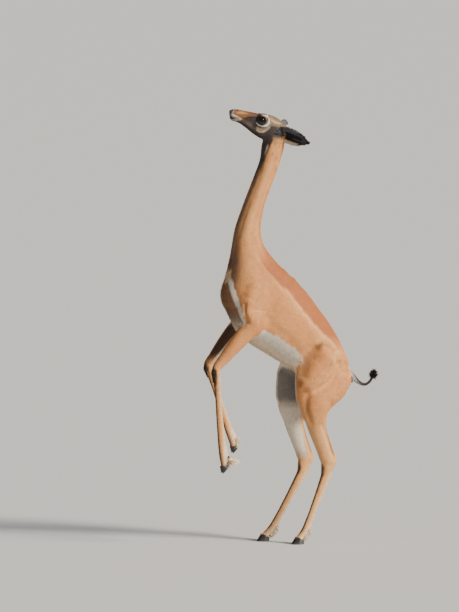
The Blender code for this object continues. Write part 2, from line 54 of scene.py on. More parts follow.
# Spine, from the root of the tail to the top of the neck: x, z, half depth, half width.
SPINE = [
    (212, 676, 46, 40), (196, 694, 66, 56), (172, 722, 88, 74), (143, 758, 101, 86), (105, 806, 115, 95),
    (48, 861, 134, 104), (-7, 907, 148, 109), (-54, 950, 160, 110), (-110, 995, 168, 107),
    (-152, 1055, 163, 98), (-181, 1130, 136, 82), (-198, 1205, 94, 62), (-208, 1266, 68, 51),
    (-208, 1326, 57, 45), (-198, 1372, 50, 41), (-176, 1446, 44, 37), (-141, 1531, 43, 36),
    (-105, 1622, 42.5, 36), (-92, 1688, 50, 40), (-80, 1735, 42, 37),
]
BREAST = ((-268, 0, 1058), (46, 48, 46))
JOINTS = {
    "fore_left": [(-190, -58, 1085), (-238, -72, 990), (-212, -84, 940), (-372, -70, 757), (-338, -60, 381),
                  (-331, -60, 322)],
    "fore_right": [(-190, 58, 1085), (-238, 72, 990), (-200, 84, 945), (-360, 70, 762), (-250, 62, 433),
                   (-245, 62, 396)],
    "hind_left": [(118, -50, 775), (105, -64, 700), (98, -70, 650), (92, -75, 608), (88, -80, 566),
                  (90, -81, 500),
                  (130, -78, 352), (121, -78, 290), (26, -77, 55), (-10, -77, 14)],
    "hind_right": [(95, 50, 775), (70, 64, 700), (63, 70, 648), (56, 75, 606), (50, 80, 564), (50, 81, 498),
                   (86, 78, 350), (72, 78, 287), (-64, 78, 55), (-109, 78, 14)],
}
# Girths along a leg: place in joints, depth in front, depth behind, half width.
FORE_GIRTHS = [
    (0, 40, 60, 30), (1, 32, 62, 34), (1.6, 30, 56, 32), (2, 32, 46, 31), (2.25, 36, 37, 29),
    (2.5, 32, 31, 25), (2.75, 26, 25, 21), (2.92, 20.5, 20, 18.5), (3.03, 19, 18, 18),
    (3.12, 16.5, 14.8, 15), (3.3, 14.2, 12.2, 11.2), (3.6, 17, 13.2, 11), (3.85, 18.2, 16.5, 12.5),
    (4, 16.5, 25, 15.5), (4.4, 13.5, 18.5, 14), (5, 12, 12, 13.5),
]
HIND_GIRTHS = [
    (0, 104, 105, 44), (1, 121, 122, 49), (2, 116, 118, 50), (3, 109, 84, 47), (4, 87, 40, 41),
    (4.6, 69, 27, 36), (5, 56, 24, 32), (5.4, 47, 27, 27), (5.75, 39, 33, 23), (6, 36, 42, 20.5),
    (6.35, 29, 30, 18.5), (7, 23.5, 23.5, 16), (7.2, 20, 20, 14), (7.4, 17.5, 17.5, 12.2),
    (7.7, 15.5, 15.5, 11.2), (7.9, 16.2, 18, 13), (8, 17.2, 22.5, 15.5), (8.5, 14.5, 16.5, 14.5),
    (9, 15, 15, 15),
]
# Tail, from inside the rump to the end of its tuft: x, z, radius.
TAIL = [
    (205, 742, 16), (235, 727, 16), (252, 713, 15.5), (267, 700, 14.5), (281, 687, 12), (295, 675, 9.5),
    (312, 665, 7.5), (331, 663, 6.6), (347, 673, 6.2), (359, 690, 6), (366, 705, 6), (375, 714, 5.5),
]

# Head, in its own frame: forward from between the ears, towards its left, up.
HEAD_AT = np.array([-0.077, 0.0, 1.755])
HEAD_PITCH = radians(13.5)
FORWARD = np.array([-cos(HEAD_PITCH), 0.0, sin(HEAD_PITCH)])
HEAD = np.array([FORWARD, (0.0, -1.0, 0.0), (sin(HEAD_PITCH), 0.0, cos(HEAD_PITCH))])
SKULL = [
    (-26, 2, 24, 30, 24), (0, 7, 36, 36, 33), (35, 12, 40, 40, 36), (68, 14, 38, 40, 34),
    (100, 19, 28, 32, 27), (130, 22.5, 22.5, 25, 21), (160, 24, 19.5, 22, 17.5), (188, 23, 20, 20.5, 17),
    (206, 20, 20.5, 18, 16), (214, 16.5, 16.5, 15, 12.5),
]
JAW = [
    (20, -26, 22, 26, 26), (55, -29, 22, 26, 24), (90, -23, 20, 21, 19), (130, -11, 14, 15, 14),
    (165, -1, 10, 11.5, 11.5), (190, 1, 7, 11, 10.5), (204, 1.5, 6, 9, 8.5),
]
BROW = ((0.074, 0.029, 0.031), (0.024, 0.017, 0.02))
EYE_AT = (0.084, 0.029, 0.02)
EYE_RADIUS = 0.0165
LID_RADIUS = 0.0186
EYE_AIM = (0.22, 1.0, 0.1)
EYE_HALF_LENGTH = 0.017
EYE_ABOVE, EYE_BELOW = 0.0122, 0.013
EARS = {
    "left": ((-0.002, 0.028, -0.013), (-0.117, 0.108, -0.031), (0.25, 0.85, -0.35)),
    "right": ((-0.004, -0.028, -0.008), (-0.087, -0.123, 0.043), (0.75, -0.55, 0.1)),
}
EAR_HALF_WIDTH = 0.033
EAR_CUP = 0.014
EAR_WALL = 0.0046

# Feet: the tips of the toes, how far they point down, and their size.
FEET = {
    "fore_left": ((-0.342, -0.06, 0.31), radians(48), 0.8),
    "fore_right": ((-0.252, 0.062, 0.381), radians(50), 0.8),
    "hind_left": ((-0.034, -0.077, 0.0), 0.0, 1.0),
    "hind_right": ((-0.133, 0.078, 0.0), 0.0, 1.0),
}
TOE_LENGTH = 0.05
TOE_HALF_WIDTH = 0.0105
TOE_FRONT_HEIGHT = 0.03
TOE_HEEL_HEIGHT = 0.016
TOE_WALL_SLOPE = radians(56)
TOE_SPREAD = 0.0118
DEWCLAW = (0.005, 0.0045, 0.0085)


def metres(rows):
    """Numbers given in millimetres, divided by a thousand."""
    return np.asarray(rows, float) / 1000


def unit(v):
    """Vectors divided by their lengths."""
    return v / np.maximum(np.linalg.norm(v, axis=-1, keepdims=True), 1e-12)


def ramp(x, low, high):
    """0 below low, 1 above high, a smooth S between."""
    t = np.clip((x - low) / (high - low), 0.0, 1.0)
    return t * t * (3 - 2 * t)


def fade(x, low, high):
    """1 below low, 0 above high."""
    return 1 - ramp(x, low, high)


def on_head(place):
    """A place given forward, aside and up from the head's middle, in the frame of the whole animal."""
    return HEAD_AT + np.asarray(place, float) @ HEAD


def in_head(points):
    """Points seen from the head: forward, towards its left, up."""
    return (points - HEAD_AT) @ HEAD.T


# The form: tubes and balls, joined softly.

def eased(places, values, step, reach):
    """Values at even steps along a line, each the weighted mean of those within reach of it."""
    steps = int(round(places[-1] / step))
    wide = int(round(reach / step))
    at = np.linspace(0.0, places[-1], steps + 1)
    even = np.stack([np.interp(at, places, column) for column in values.T], axis=1)
    ahead = np.arange(1, wide + 1)[:, None]
    before = even[0] - (even[1] - even[0]) * ahead[::-1]
    after = even[-1] + (even[-1] - even[-2]) * ahead
    before[:, 3:] = even[0, 3:]
    after[:, 3:] = even[-1, 3:]
    padded = np.vstack([before, even, after])
    weights = np.cos(np.linspace(-pi / 2, pi / 2, 2 * wide + 3))[1:-1] ** 2
    return np.stack([np.convolve(column, weights / weights.sum(), "valid") for column in padded.T], axis=1)


def make_tube(rows, turn, reach=0.03, step=0.006, power=2.0, lie=1.0):
    """A centre line with frames and girths at even steps. Its front lies in the upright plane of the line."""
    rows = np.asarray(rows, float)
    places = np.concatenate([[0.0], np.cumsum(np.linalg.norm(np.diff(rows[:, :3], axis=0), axis=1))])
    even = eased(places, rows, step, reach)
    along = unit(np.gradient(even[:, :3], axis=0))
    front = unit(turn * np.stack([along[:, 2], np.zeros(len(along)), -along[:, 0]], axis=1))
    side = unit(np.cross(along, front))
    pace = np.linalg.norm(np.diff(even[:, :3], axis=0), axis=1).mean()
    return {"centre": even[:, :3], "along": along, "front": front, "side": side, "girth": even[:, 3:6],
            "pace": pace, "power": power, "lie": lie}


def tube_place(points, tube):
    """Where points lie by a tube: steps along it, offsets to the front, the side and past its ends."""
    centre, pace = tube["centre"], tube["pace"]
    nearest = np.empty(len(points), int)
    for start in range(0, len(points), 8192):
        block = points[start:start + 8192]
        spread = (centre ** 2).sum(1)[None] - 2 * block @ centre.T
        nearest[start:start + 8192] = spread.argmin(1)
    ahead = ((points - centre[nearest]) * tube["along"][nearest]).sum(1) / pace
    place = np.clip(nearest + np.clip(ahead, -0.5, 0.5), 0, len(centre) - 1)
    low = np.minimum(place.astype(int), len(centre) - 2)
    part = (place - low)[:, None]
    blend = {key: tube[key][low] * (1 - part) + tube[key][low + 1] * part
             for key in ("centre", "along", "front", "side", "girth")}
    away = points - blend["centre"]
    offsets = [(away * blend[key]).sum(1) for key in ("front", "side", "along")]
    return place, offsets, blend


def tube_distance(points, tube):
    """Signed distance, right near the surface: (q - 1) / |gradient of q|, where q is 1 on the oval."""
    power = tube["power"]
    place, (u, v, w), blend = tube_place(points, tube)
    girth = blend["girth"]
    radii = (np.where(u > 0, girth[:, 0], girth[:, 1]), girth[:, 2], girth.min(1))
    w = np.where((place > 0.01) & (place < len(tube["centre"]) - 1.01), 0.0, w)
    parts = [np.abs(x) / r for x, r in zip((u, v, w), radii)]
    q = np.maximum(sum(p ** power for p in parts) ** (1 / power), 1e-6)
    slope = sum(((p / q) ** (power - 1) / r) ** 2 for p, r in zip(parts, radii))
    return (q - 1) / np.sqrt(np.maximum(slope, 1e-9))


def make_ball(centre, half, ahead=(1.0, 0.0, 0.0)):
    """An egg shape: its centre, three half axes, and the way its first axis points."""
    ahead = unit(np.asarray(ahead, float))
    side = unit(np.cross((0.0, 0.0, 1.0), ahead))
    return {"centre": np.asarray(centre, float), "half": np.asarray(half, float),
            "frame": np.stack([ahead, side, np.cross(ahead, side)])}


def ball_distance(points, ball):
    """Signed distance to an egg shape given by its centre, three half axes and its frame."""
    local = (points - ball["centre"]) @ ball["frame"].T / ball["half"]
    q = np.maximum(np.linalg.norm(local, axis=1), 1e-6)
    return (q - 1) / np.maximum(np.linalg.norm(local / ball["half"], axis=1) / q, 1e-9)


def make_leaf(side):
    """An ear: its root, the ways along it, across it and into its hollow, and its length."""
    root, tip, hollow = EARS[side]
    root, tip, hollow = on_head(root), on_head(tip), np.asarray(hollow) @ HEAD
    axis = unit(tip - root)
    face = unit(hollow - axis * (hollow @ axis))
    return {"centre": np.stack([root, tip]), "root": root, "axis": axis, "face": face,
            "wide": np.cross(face, axis), "length": np.linalg.norm(tip - root), "half": np.array([0.05])}


def leaf_shape(along):
    """Half width and depth of the cup of an ear at a share of its length: the width swells as a sine of
    the way along to the power 0.76."""
    swell = 0.3 * (1 - along) ** 3 + np.maximum(np.sin(pi * along ** 0.76), 0.0) ** 0.72
    swell = np.maximum(swell, 0.36 * np.sqrt(np.clip(1 - ((along - 0.8) / 0.2) ** 2, 0.0, 1.0))
                       * (along > 0.8))
    width = EAR_HALF_WIDTH * np.minimum(swell, 1.0) + 0.001
    cup = EAR_CUP * (1.35 - 0.95 * along) * np.minimum(1.0, width / EAR_HALF_WIDTH + 0.25)
    return width, cup


def leaf_place(points, leaf):
    """Share of the ear's length, share across it from -1 to 1, and height over the middle of its wall."""
    away = points - leaf["root"]
    far = away @ leaf["axis"] / leaf["length"]
    along = np.clip(far, 0.0, 1.0)
    width, cup = leaf_shape(along)
    aside = away @ leaf["wide"]
    across = np.clip(aside / width, -1.0, 1.0)
    rise = away @ leaf["face"] + cup * (1 - across ** 2)
    rise = rise / np.sqrt(1 + (2 * cup * across / width) ** 2)
    return far, aside / width, rise, np.hypot(np.maximum(np.abs(aside) - width, 0.0),
                                              (far - along) * leaf["length"])


def leaf_distance(points, leaf):
    """Distance to the middle of an ear's wall, less half the wall."""
    far, _, rise, beyond = leaf_place(points, leaf)
    wall = EAR_WALL / 2 * (1.1 - 0.5 * np.clip(far, 0.0, 1.0))
    return np.hypot(rise, beyond) - wall


def join(first, second, soft):
    """The nearer of two surfaces, with a fillet about as wide as soft where they cross."""
    share = np.clip(0.5 + 0.5 * (second - first) / soft, 0.0, 1.0)
    return second * (1 - share) + first * share - soft * share * (1 - share)


def leg_tube(joints, table):
    """A leg through its joints, twelve places between each two, with its girths read off their table."""
    at = np.union1d(np.linspace(0, len(joints) - 1, 12 * (len(joints) - 1) + 1), table[:, 0])
    line = [np.interp(at, np.arange(len(joints)), joints[:, axis]) for axis in range(3)]
    girth = [np.interp(at, table[:, 0], table[:, column] / 1000) for column in (1, 2, 3)]
    return make_tube(np.stack(line + girth, axis=1), turn=1, reach=0.022, step=0.005)


def head_tube(rows):
    """A tube in the head's own frame. A row: forward, up, height above the line, depth below it, half width."""
    placed = [(*on_head((ahead, 0.0, up)), above, below, half) for ahead, up, above, below,
              half in metres(rows)]
    return make_tube(placed, turn=1, reach=0.012, step=0.004, lie=-1.0)


def make_parts():
    """Every part of the flesh: kind, shape, softness of its join."""
    parts = {"spine": ("tube", make_tube([(x, 0.0, z, d, d, h) for x, z, d, h in metres(SPINE)], -1, 0.05,
                                         power=2.15, lie=-1.0), 0.0)}
    for leg, joints in JOINTS.items():
        girths, soft = (FORE_GIRTHS, 0.03) if leg.startswith("fore") else (HIND_GIRTHS, 0.04)
        parts[leg] = ("tube", leg_tube(metres(joints), np.asarray(girths, float)), soft)
    parts["breast"] = ("ball", make_ball(*metres(BREAST)), 0.05)
    tail = [(x, 0.0, z, radius, radius, radius) for x, z, radius in metres(TAIL)]
    parts["tail"] = ("tube", make_tube(tail, 1, 0.012, 0.004), 0.012)
    parts["skull"] = ("tube", head_tube(SKULL), 0.022)
    parts["jaw"] = ("tube", head_tube(JAW), 0.014)
    for side, which in (("left", 1), ("right", -1)):
        (ahead, aside, above), half = BROW
        parts[f"brow_{side}"] = ("ball", make_ball(on_head((ahead, which * aside, above)), half, FORWARD),
                                 0.014)
        eye = on_head((EYE_AT[0], which * EYE_AT[1], EYE_AT[2]))
        parts[f"lid_{side}"] = ("ball", make_ball(eye, [LID_RADIUS] * 3), 0.006)
        parts[f"ear_{side}"] = ("leaf", make_leaf(side), 0.01)
    return parts


MEASURES = {"tube": tube_distance, "ball": ball_distance, "leaf": leaf_distance}


def part_distances(points, parts):
    """One row of distances for each part, 1 where the part is far off."""
    rows = []
    for kind, shape, _ in parts.values():
        centres = shape["centre"].reshape(-1, 3)
        margin = (shape["girth"] if kind == "tube" else shape["half"]).max() + 0.06
        near = np.all((points > centres.min(0) - margin) & (points < centres.max(0) + margin), axis=1)
        distance = np.full(len(points), 1.0)
        if near.any():
            distance[near] = MEASURES[kind](points[near], shape)
        rows.append(distance)
    return np.array(rows)


def form_distance(points, parts):
    """Signed distance to the whole form: its parts joined in their order."""
    total = None
    for distance, (_, _, soft) in zip(part_distances(points, parts), parts.values()):
        total = distance if total is None else join(total, distance, soft)
    return total


def settle(points, parts, rounds, step=0.0003):
    """Points moved onto the form, by steps of distance over slope along the slope."""
    points = points.copy()
    for _ in range(rounds):
        distance = form_distance(points, parts)
        slope = np.stack([form_distance(points + shift, parts) - distance for shift in np.eye(3) * step],
                         -1) / step
        move = distance / np.maximum((slope ** 2).sum(1), 0.2)
        points -= np.clip(move, -0.012, 0.012)[:, None] * slope
    return points


# Surfaces as arrays: points, and triangles as rows of point numbers.

def grid_faces(rows, columns):
    """Two triangles for each cell of a grid of points, the columns running on round to the first."""
    i, j = np.meshgrid(np.arange(rows - 1), np.arange(columns), indexing="ij")
    here, there = i * columns + j, i * columns + (j + 1) % columns
    return np.vstack([np.stack([here, there, there + columns], -1).reshape(-1, 3),
                      np.stack([here, there + columns, here + columns], -1).reshape(-1, 3)])


def closed_grid(grid):
    """A grid of rings made one closed surface: a point at the middle of each end ring closes it."""
    rows, columns = grid.shape[:2]
    points = np.vstack([grid.reshape(-1, 3), grid[0].mean(0), grid[-1].mean(0)])
    ring = np.arange(columns)
    follow = np.roll(ring, -1)
    first = np.stack([follow, ring, np.full(columns, rows * columns)], -1)
    last = np.stack([ring, follow, np.full(columns, rows * columns + 1)], -1)
    last[:, :2] += (rows - 1) * columns
    return outward(points, np.vstack([grid_faces(rows, columns), first, last]))


def outward(points, faces):
    """The same surface with its faces turned outwards: the sum of its corner volumes is above 0."""
    a, b, c = points[faces[:, 0]], points[faces[:, 1]], points[faces[:, 2]]
    volume = (a * np.cross(b, c)).sum()
    return points, faces if volume > 0 else faces[:, ::-1]


def gathered(surfaces):
    """Several surfaces as one."""
    starts = np.cumsum([0] + [len(points) for points, _ in surfaces])
    return (np.vstack([points for points, _ in surfaces]),
            np.vstack([faces + start for (_, faces), start in zip(surfaces, starts)]))


def tube_surface(tube, every=2, sides=28):
    """An oval carried along the tube: front and side girths times the cosine and sine of the turn."""
    turn = np.linspace(0, 2 * pi, sides, endpoint=False)
    pick = np.unique(np.append(np.arange(0, len(tube["centre"]), every), len(tube["centre"]) - 1))
    girth = tube["girth"][pick][:, None]
    depth = np.where(np.cos(turn) > 0, girth[..., 0], girth[..., 1])
    return closed_grid(tube["centre"][pick][:, None] + tube["front"][pick][:, None]
                       * (depth * np.cos(turn))[..., None]
                       + tube["side"][pick][:, None] * (girth[..., 2] * np.sin(turn))[..., None])


def ball_surface(ball, rows=24, columns=32, bulge=None):
    """A globe: rings of latitude, scaled by the three half axes. Bulge gives the height over it."""
    tilt, turn = np.meshgrid(np.linspace(0.06, pi - 0.06, rows),
                             np.linspace(0, 2 * pi, columns, endpoint=False),
                             indexing="ij")
    way = np.stack([np.cos(tilt), np.sin(tilt) * np.cos(turn), np.sin(tilt) * np.sin(turn)], -1)
    reach = 1.0 if bulge is None else 1.0 + bulge(way)[..., None]
    return closed_grid(ball["centre"] + (way * ball["half"] * reach) @ ball["frame"])


def leaf_surface(leaf, rows=60, columns=24):
    """The ear as a closed leaf: the hollow side of the wall out to one edge and its back side home."""
    along = np.linspace(0.0, 1.0, rows)[:, None]
    turn = np.linspace(0, 2 * pi, 2 * columns, endpoint=False)[None]
    across, face = np.cos(turn), np.sin(turn)
    width, cup = leaf_shape(along)
    wall = EAR_WALL / 2 * (1.1 - 0.5 * along)
    rise = wall * face - cup * (1 - across ** 2)
    return closed_grid(leaf["root"] + leaf["axis"] * (along * leaf["length"])[..., None]
                       + leaf["wide"] * (width * across)[..., None] + leaf["face"] * rise[..., None])


def mesh_object(name, points, faces):
    """Arrays put into a mesh object at the origin, with smooth shading."""
    mesh = bpy.data.meshes.new(name)
    mesh.vertices.add(len(points))
    mesh.vertices.foreach_set("co", np.asarray(points, np.float32).ravel())
    mesh.loops.add(faces.size)
    mesh.loops.foreach_set("vertex_index", np.asarray(faces, np.int32).ravel())
    mesh.polygons.add(len(faces))
    mesh.polygons.foreach_set("loop_start", np.arange(0, faces.size, faces.shape[1], dtype=np.int32))
    mesh.polygons.foreach_set("use_smooth", np.ones(len(faces), bool))
    mesh.update(calc_edges=True)
    item = bpy.data.objects.new(name, mesh)
    bpy.context.scene.collection.objects.link(item)
    return item


def paint_points(item, name, colour):
    """One colour for each point, kept on the mesh under a name."""
    values = np.ones((len(colour), 4), np.float32)
    values[:, :3] = colour
    item.data.attributes.new(name, "FLOAT_COLOR", "POINT").data.foreach_set("color", values.ravel())


def put_uv(item, name, uv):
    """An unwrap from the places of every face's corners."""
    item.data.uv_layers.new(name=name).data.foreach_set("uv", uv.astype(np.float32).ravel())


def read_mesh(mesh):
    """Points and triangles of a mesh."""
    points = np.empty(3 * len(mesh.vertices))
    mesh.vertices.foreach_get("co", points)
    mesh.calc_loop_triangles()
    faces = np.empty(3 * len(mesh.loop_triangles), np.int32)
    mesh.loop_triangles.foreach_get("vertices", faces)
    return points.reshape(-1, 3), faces.reshape(-1, 3).astype(int)


def worked(item):
    """Points and triangles of an object as its modifier leaves them. The object itself goes."""
    graph = bpy.context.evaluated_depsgraph_get()
    graph.update()
    mesh = bpy.data.meshes.new_from_object(item.evaluated_get(graph))
    result = read_mesh(mesh)
    bpy.data.objects.remove(item, do_unlink=True)
    bpy.data.meshes.remove(mesh)
    return result


def remeshed(points, faces, voxel):
    """The outer surface of everything given, as one even skin."""
    item = mesh_object("loose", points, faces)
    even = item.modifiers.new("even", "REMESH")
    even.mode = "VOXEL"
    even.voxel_size = voxel
    return worked(item)


def trimmed(points, faces, cuts):
    """What lies behind each cut. A cut: a point, the way out, how far round the point it works, if closed."""
    item = mesh_object("loose", points, faces)
    shape = bmesh.new()
    shape.from_mesh(item.data)
    bpy.data.objects.remove(item, do_unlink=True)
    for place, normal, reach, close in cuts:
        place = Vector(place)
        near = [face for face in shape.faces if (face.calc_center_median() - place).length < reach]
        parts = list({part for face in near for part in (*face.verts, *face.edges, face)})
        cut = bmesh.ops.bisect_plane(shape, geom=parts, plane_co=place, plane_no=Vector(normal),
                                     clear_outer=True)
        if close:
            rim = [edge for edge in cut["geom_cut"] if isinstance(edge, bmesh.types.BMEdge)]
            bmesh.ops.holes_fill(shape, edges=rim)
    bmesh.ops.triangulate(shape, faces=shape.faces)
    mesh = bpy.data.meshes.new("trimmed")
    shape.to_mesh(mesh)
    shape.free()
    result = read_mesh(mesh)
    bpy.data.meshes.remove(mesh)
    return result


def stitched(lower, upper, low_z, high_z, middle):
    """Two open surfaces joined by a strip of triangles between their level rims."""
    (points_a, faces_a), (points_b, faces_b) = lower, upper
    points = np.vstack([points_a, points_b])
    faces = np.vstack([faces_a, faces_b + len(points_a)])
    rim_a = np.flatnonzero(np.abs(points_a[:, 2] - low_z) < 1e-6)
    rim_b = np.flatnonzero(np.abs(points_b[:, 2] - high_z) < 1e-6) + len(points_a)
    turn = {key: np.arctan2(points[rim, 1] - middle[1], points[rim, 0] - middle[0])
            for key, rim in (("a", rim_a), ("b", rim_b))}
    rim_a, at_a = rim_a[np.argsort(turn["a"])], np.sort(turn["a"])
    rim_b, at_b = rim_b[np.argsort(turn["b"])], np.sort(turn["b"])
    # Each point of a rim closes one triangle, with the last point of the other rim before it in turn.
    beside = rim_b[np.searchsorted(at_b, at_a, side="right") - 1]
    across = rim_a[np.searchsorted(at_a, at_b, side="right") - 1]
    strips = [np.stack([np.roll(rim_a, 1), rim_a, beside], -1),
              np.stack([across, rim_b, np.roll(rim_b, 1)], -1)]
    return points, np.vstack([faces, *strips])


def corner_normals(points, faces):
    """Normals at the points: the sum of the face normals round each, weighted by area."""
    a, b, c = points[faces[:, 0]], points[faces[:, 1]], points[faces[:, 2]]
    area = np.cross(b - a, c - a)
    total = np.zeros_like(points)
    for column in range(3):
        for axis in range(3):
            total[:, axis] += np.bincount(faces[:, column], area[:, axis], len(points))
    return unit(total)


def spread_out(values, faces, rounds):
    """Values at the points made the mean of their own and their neighbours', several times."""
    count = len(values)
    pairs = np.vstack([faces[:, [0, 1]], faces[:, [1, 2]], faces[:, [2, 0]]])
    degree = np.maximum(np.bincount(pairs[:, 0], minlength=count) + np.bincount(pairs[:, 1], minlength=count),
                        1)
    for _ in range(rounds):
        total = np.stack([np.bincount(pairs[:, 0], values[pairs[:, 1], k], count)
                          + np.bincount(pairs[:, 1], values[pairs[:, 0], k], count)
                          for k in range(values.shape[1])], -1)
        values = 0.5 * values + 0.5 * total / degree[:, None]
    return values


# Feet.

def foot_frame(foot):
    """Centre of the sole, and the directions forward and up of the foot."""
    tip, pitch, size = FEET[foot]
    forward = np.array([-cos(pitch), 0.0, -sin(pitch)])
    up = np.array([-sin(pitch), 0.0, cos(pitch)])
    return np.asarray(tip) - forward * size * TOE_LENGTH / 2, forward, up, size


def coronet(foot):
    """The plane where skin and hoof meet: a point on it and its direction, up the leg."""
    centre, forward, up, size = foot_frame(foot)
    front = TOE_LENGTH / 2 - TOE_FRONT_HEIGHT / np.tan(TOE_WALL_SLOPE)
    heel = -TOE_LENGTH / 2 + 0.003
    rise = unit(np.array([front - heel, TOE_FRONT_HEIGHT - TOE_HEEL_HEIGHT]))
    place = centre + (forward * (front + heel) / 2 + up * (TOE_FRONT_HEIGHT + TOE_HEEL_HEIGHT) / 2) * size
    return place, forward * -rise[1] + up * rise[0]


def largest(points, faces):
    """The largest connected surface: every point takes the lowest number among those it is joined to."""
    label = np.arange(len(points))
    while True:
        new = label.copy()
        for a, b in ((0, 1), (1, 2), (2, 0)):
            np.minimum.at(new, faces[:, a], label[faces[:, b]])
            np.minimum.at(new, faces[:, b], label[faces[:, a]])
        new = new[new]
        if (new == label).all():
            break
        label = new
    kept = label == np.bincount(label).argmax()
    number = np.cumsum(kept) - 1
    return points[kept], number[faces[kept[faces[:, 0]]]]


def make_skin(parts):
    """The body's skin and the finer skin of the head, stitched round the neck and settled on the form."""
    tubes = {name: shape for name, (kind, shape, _) in parts.items() if kind == "tube"}
    balls = {name: shape for name, (kind, shape, _) in parts.items() if kind == "ball"}
    leaves = [shape for kind, shape, _ in parts.values() if kind == "leaf"]
    body = {name: part for name, part in parts.items()
            if name not in ("jaw", "skull") and not name.startswith(("brow", "lid", "ear"))}
    low = remeshed(*gathered([tube_surface(tubes[name]) for name in body if name in tubes]), 0.0062)
    low = remeshed(settle(low[0], body, 3), low[1], BODY_VOXEL)
    cuts = [((*np.interp([NECK_CUT], [1.622, 1.688], [-0.109, -0.092]), 0.0, NECK_CUT), (0, 0, 1), 0.2,
             False)]
    for foot in FEET:
        place, normal = coronet(foot)
        cuts.append((tuple(place - normal * 0.002), tuple(-normal), 0.045, True))
    low = trimmed(*low, cuts)
    spine = tubes["spine"]
    top = spine["centre"][:, 2] > 1.56
    neck = {key: value[top] if isinstance(value, np.ndarray) else value for key, value in spine.items()}
    fine = [tube_surface(neck), tube_surface(tubes["skull"], 1, 48), tube_surface(tubes["jaw"], 1, 40)]
    fine += [ball_surface(balls[name]) for name in balls if name.startswith(("brow", "lid"))]
    fine += [leaf_surface(leaf) for leaf in leaves]
    high = remeshed(*gathered(fine), HEAD_VOXEL)
    high = trimmed(*high, [((-0.1, 0.0, NECK_CUT + NECK_GAP), (0, 0, -1), 0.3, False)])
    points, faces = stitched(largest(*low), largest(*high), NECK_CUT, NECK_CUT + NECK_GAP, (-0.1, 0.0))
    points = settle(points, parts, 3)
    rough = points[:, 2] > NECK_CUT + 0.01
    eased_points = spread_out(points, faces, 2)
    points[rough] = eased_points[rough]
    return settle(points, parts, 2), faces


# Relief: what the muscles, folds and features add to the form, as heights along the normal.

def as_left(points):
    """The right side laid onto the left one: y turned over, the hind leg moved to where the left one is."""
    x, y, z = points.T
    right = y > 0
    step = np.interp(z, [0.05, 0.29, 0.35, 0.5, 0.65, 0.775, 0.9],
                     [0.09, 0.049, 0.044, 0.04, 0.035, 0.023, 0.0])
    return np.stack([np.where(right & (x > -0.21), x + step, x), -np.abs(y), z], 1)


def path_distance(points, path):
    """Distance to a line through the given points, and the share of the way along it."""
    path = np.asarray(path, float)
    lengths = np.linalg.norm(np.diff(path, axis=0), axis=1)
    ends = np.concatenate([[0.0], np.cumsum(lengths)])
    best = np.full(len(points), 9.0)
    share = np.zeros(len(points))
    for a, b, start, length in zip(path, path[1:], ends, lengths):
        t = np.clip((points - a) @ (b - a) / length ** 2, 0.0, 1.0)
        away = np.linalg.norm(points - a - t[:, None] * (b - a), axis=1)
        closer = away < best
        best = np.where(closer, away, best)
        share = np.where(closer, (start + t * length) / ends[-1], share)
    return best, share


def line_relief(points, path, width, height):
    """A ridge or groove along a path: a bell across it, fading out over the last sixth at each end."""
    distance, share = path_distance(points, metres(path))
    bell = np.exp(-(distance / metres(width)) ** 2)
    return metres(height) * bell * ramp(np.minimum(share, 1 - share), -0.02, 0.16)


def swell(points, centre, way, length, width, height):
    """A bell-shaped swelling or hollow, longer along its way than across it."""
    away = points - metres(centre)
    far = away @ unit(np.asarray(way, float))
    across = (away ** 2).sum(1) - far ** 2
    return metres(height) * np.exp(-(far / metres(length)) ** 2 - across / metres(width) ** 2)


# Body: path, width, height. Left side.
BODY_LINES = [
    ([(150, -97, 800), (142, -103, 754), (121, -109, 722), (87, -114, 698),
      (56, -113, 681), (28, -109, 664), (12, -104, 650)], 13, 7.5),
    ([(176, -90, 790), (166, -98, 748), (142, -106, 706), (102, -112, 676),
      (62, -112, 655), (34, -110, 640)], 15, -7.5),
    ([(83, -99, 845), (56, -100, 816), (32, -95, 778), (15, -92, 735),
      (8, -95, 690)], 24, -8),
    ([(40, -113, 657), (23, -109, 623), (20, -105, 580), (34, -105, 537),
      (45, -99, 494)], 13, -5.5),
    ([(74, -101, 862), (108, -95, 861), (143, -86, 842), (166, -85, 816)], 14, 6),
    ([(208, -83, 726), (193, -98, 672), (161, -109, 627), (122, -118, 604)], 20, 4),
    ([(86, -113, 520), (92, -113, 502), (108, -108, 459), (129, -101, 411),
      (144, -97, 363)], 7, -5.5),
    ([(20, -104, 480), (60, -104, 420), (95, -98, 350)], 8, -2.2),
    ([(-12, -93, 800), (-20, -85, 750), (-30, -85, 705)], 16, 5),
    ([(-252, -93, 1040), (-254, -99, 993), (-246, -103, 950)], 9, -5),
    ([(-246, -85, 1060), (-215, -88, 1100), (-195, -78, 1150)], 18, 2.2),
    ([(-225, -95, 1030), (-195, -97, 1080), (-175, -85, 1125)], 18, -2.2),
    ([(-265, -35, 1290), (-235, -30, 1380), (-200, -24, 1460), (-165, -22, 1540),
      (-142, -22, 1640)], 10, -3),
    ([(-225, -40, 1290), (-205, -37, 1400), (-150, -34, 1520), (-110, -34, 1620)], 14, 1.6),
    ([(-175, -105, 985), (-130, -108, 930), (-60, -104, 880), (-20, -98, 835)], 16, -1.8),
]
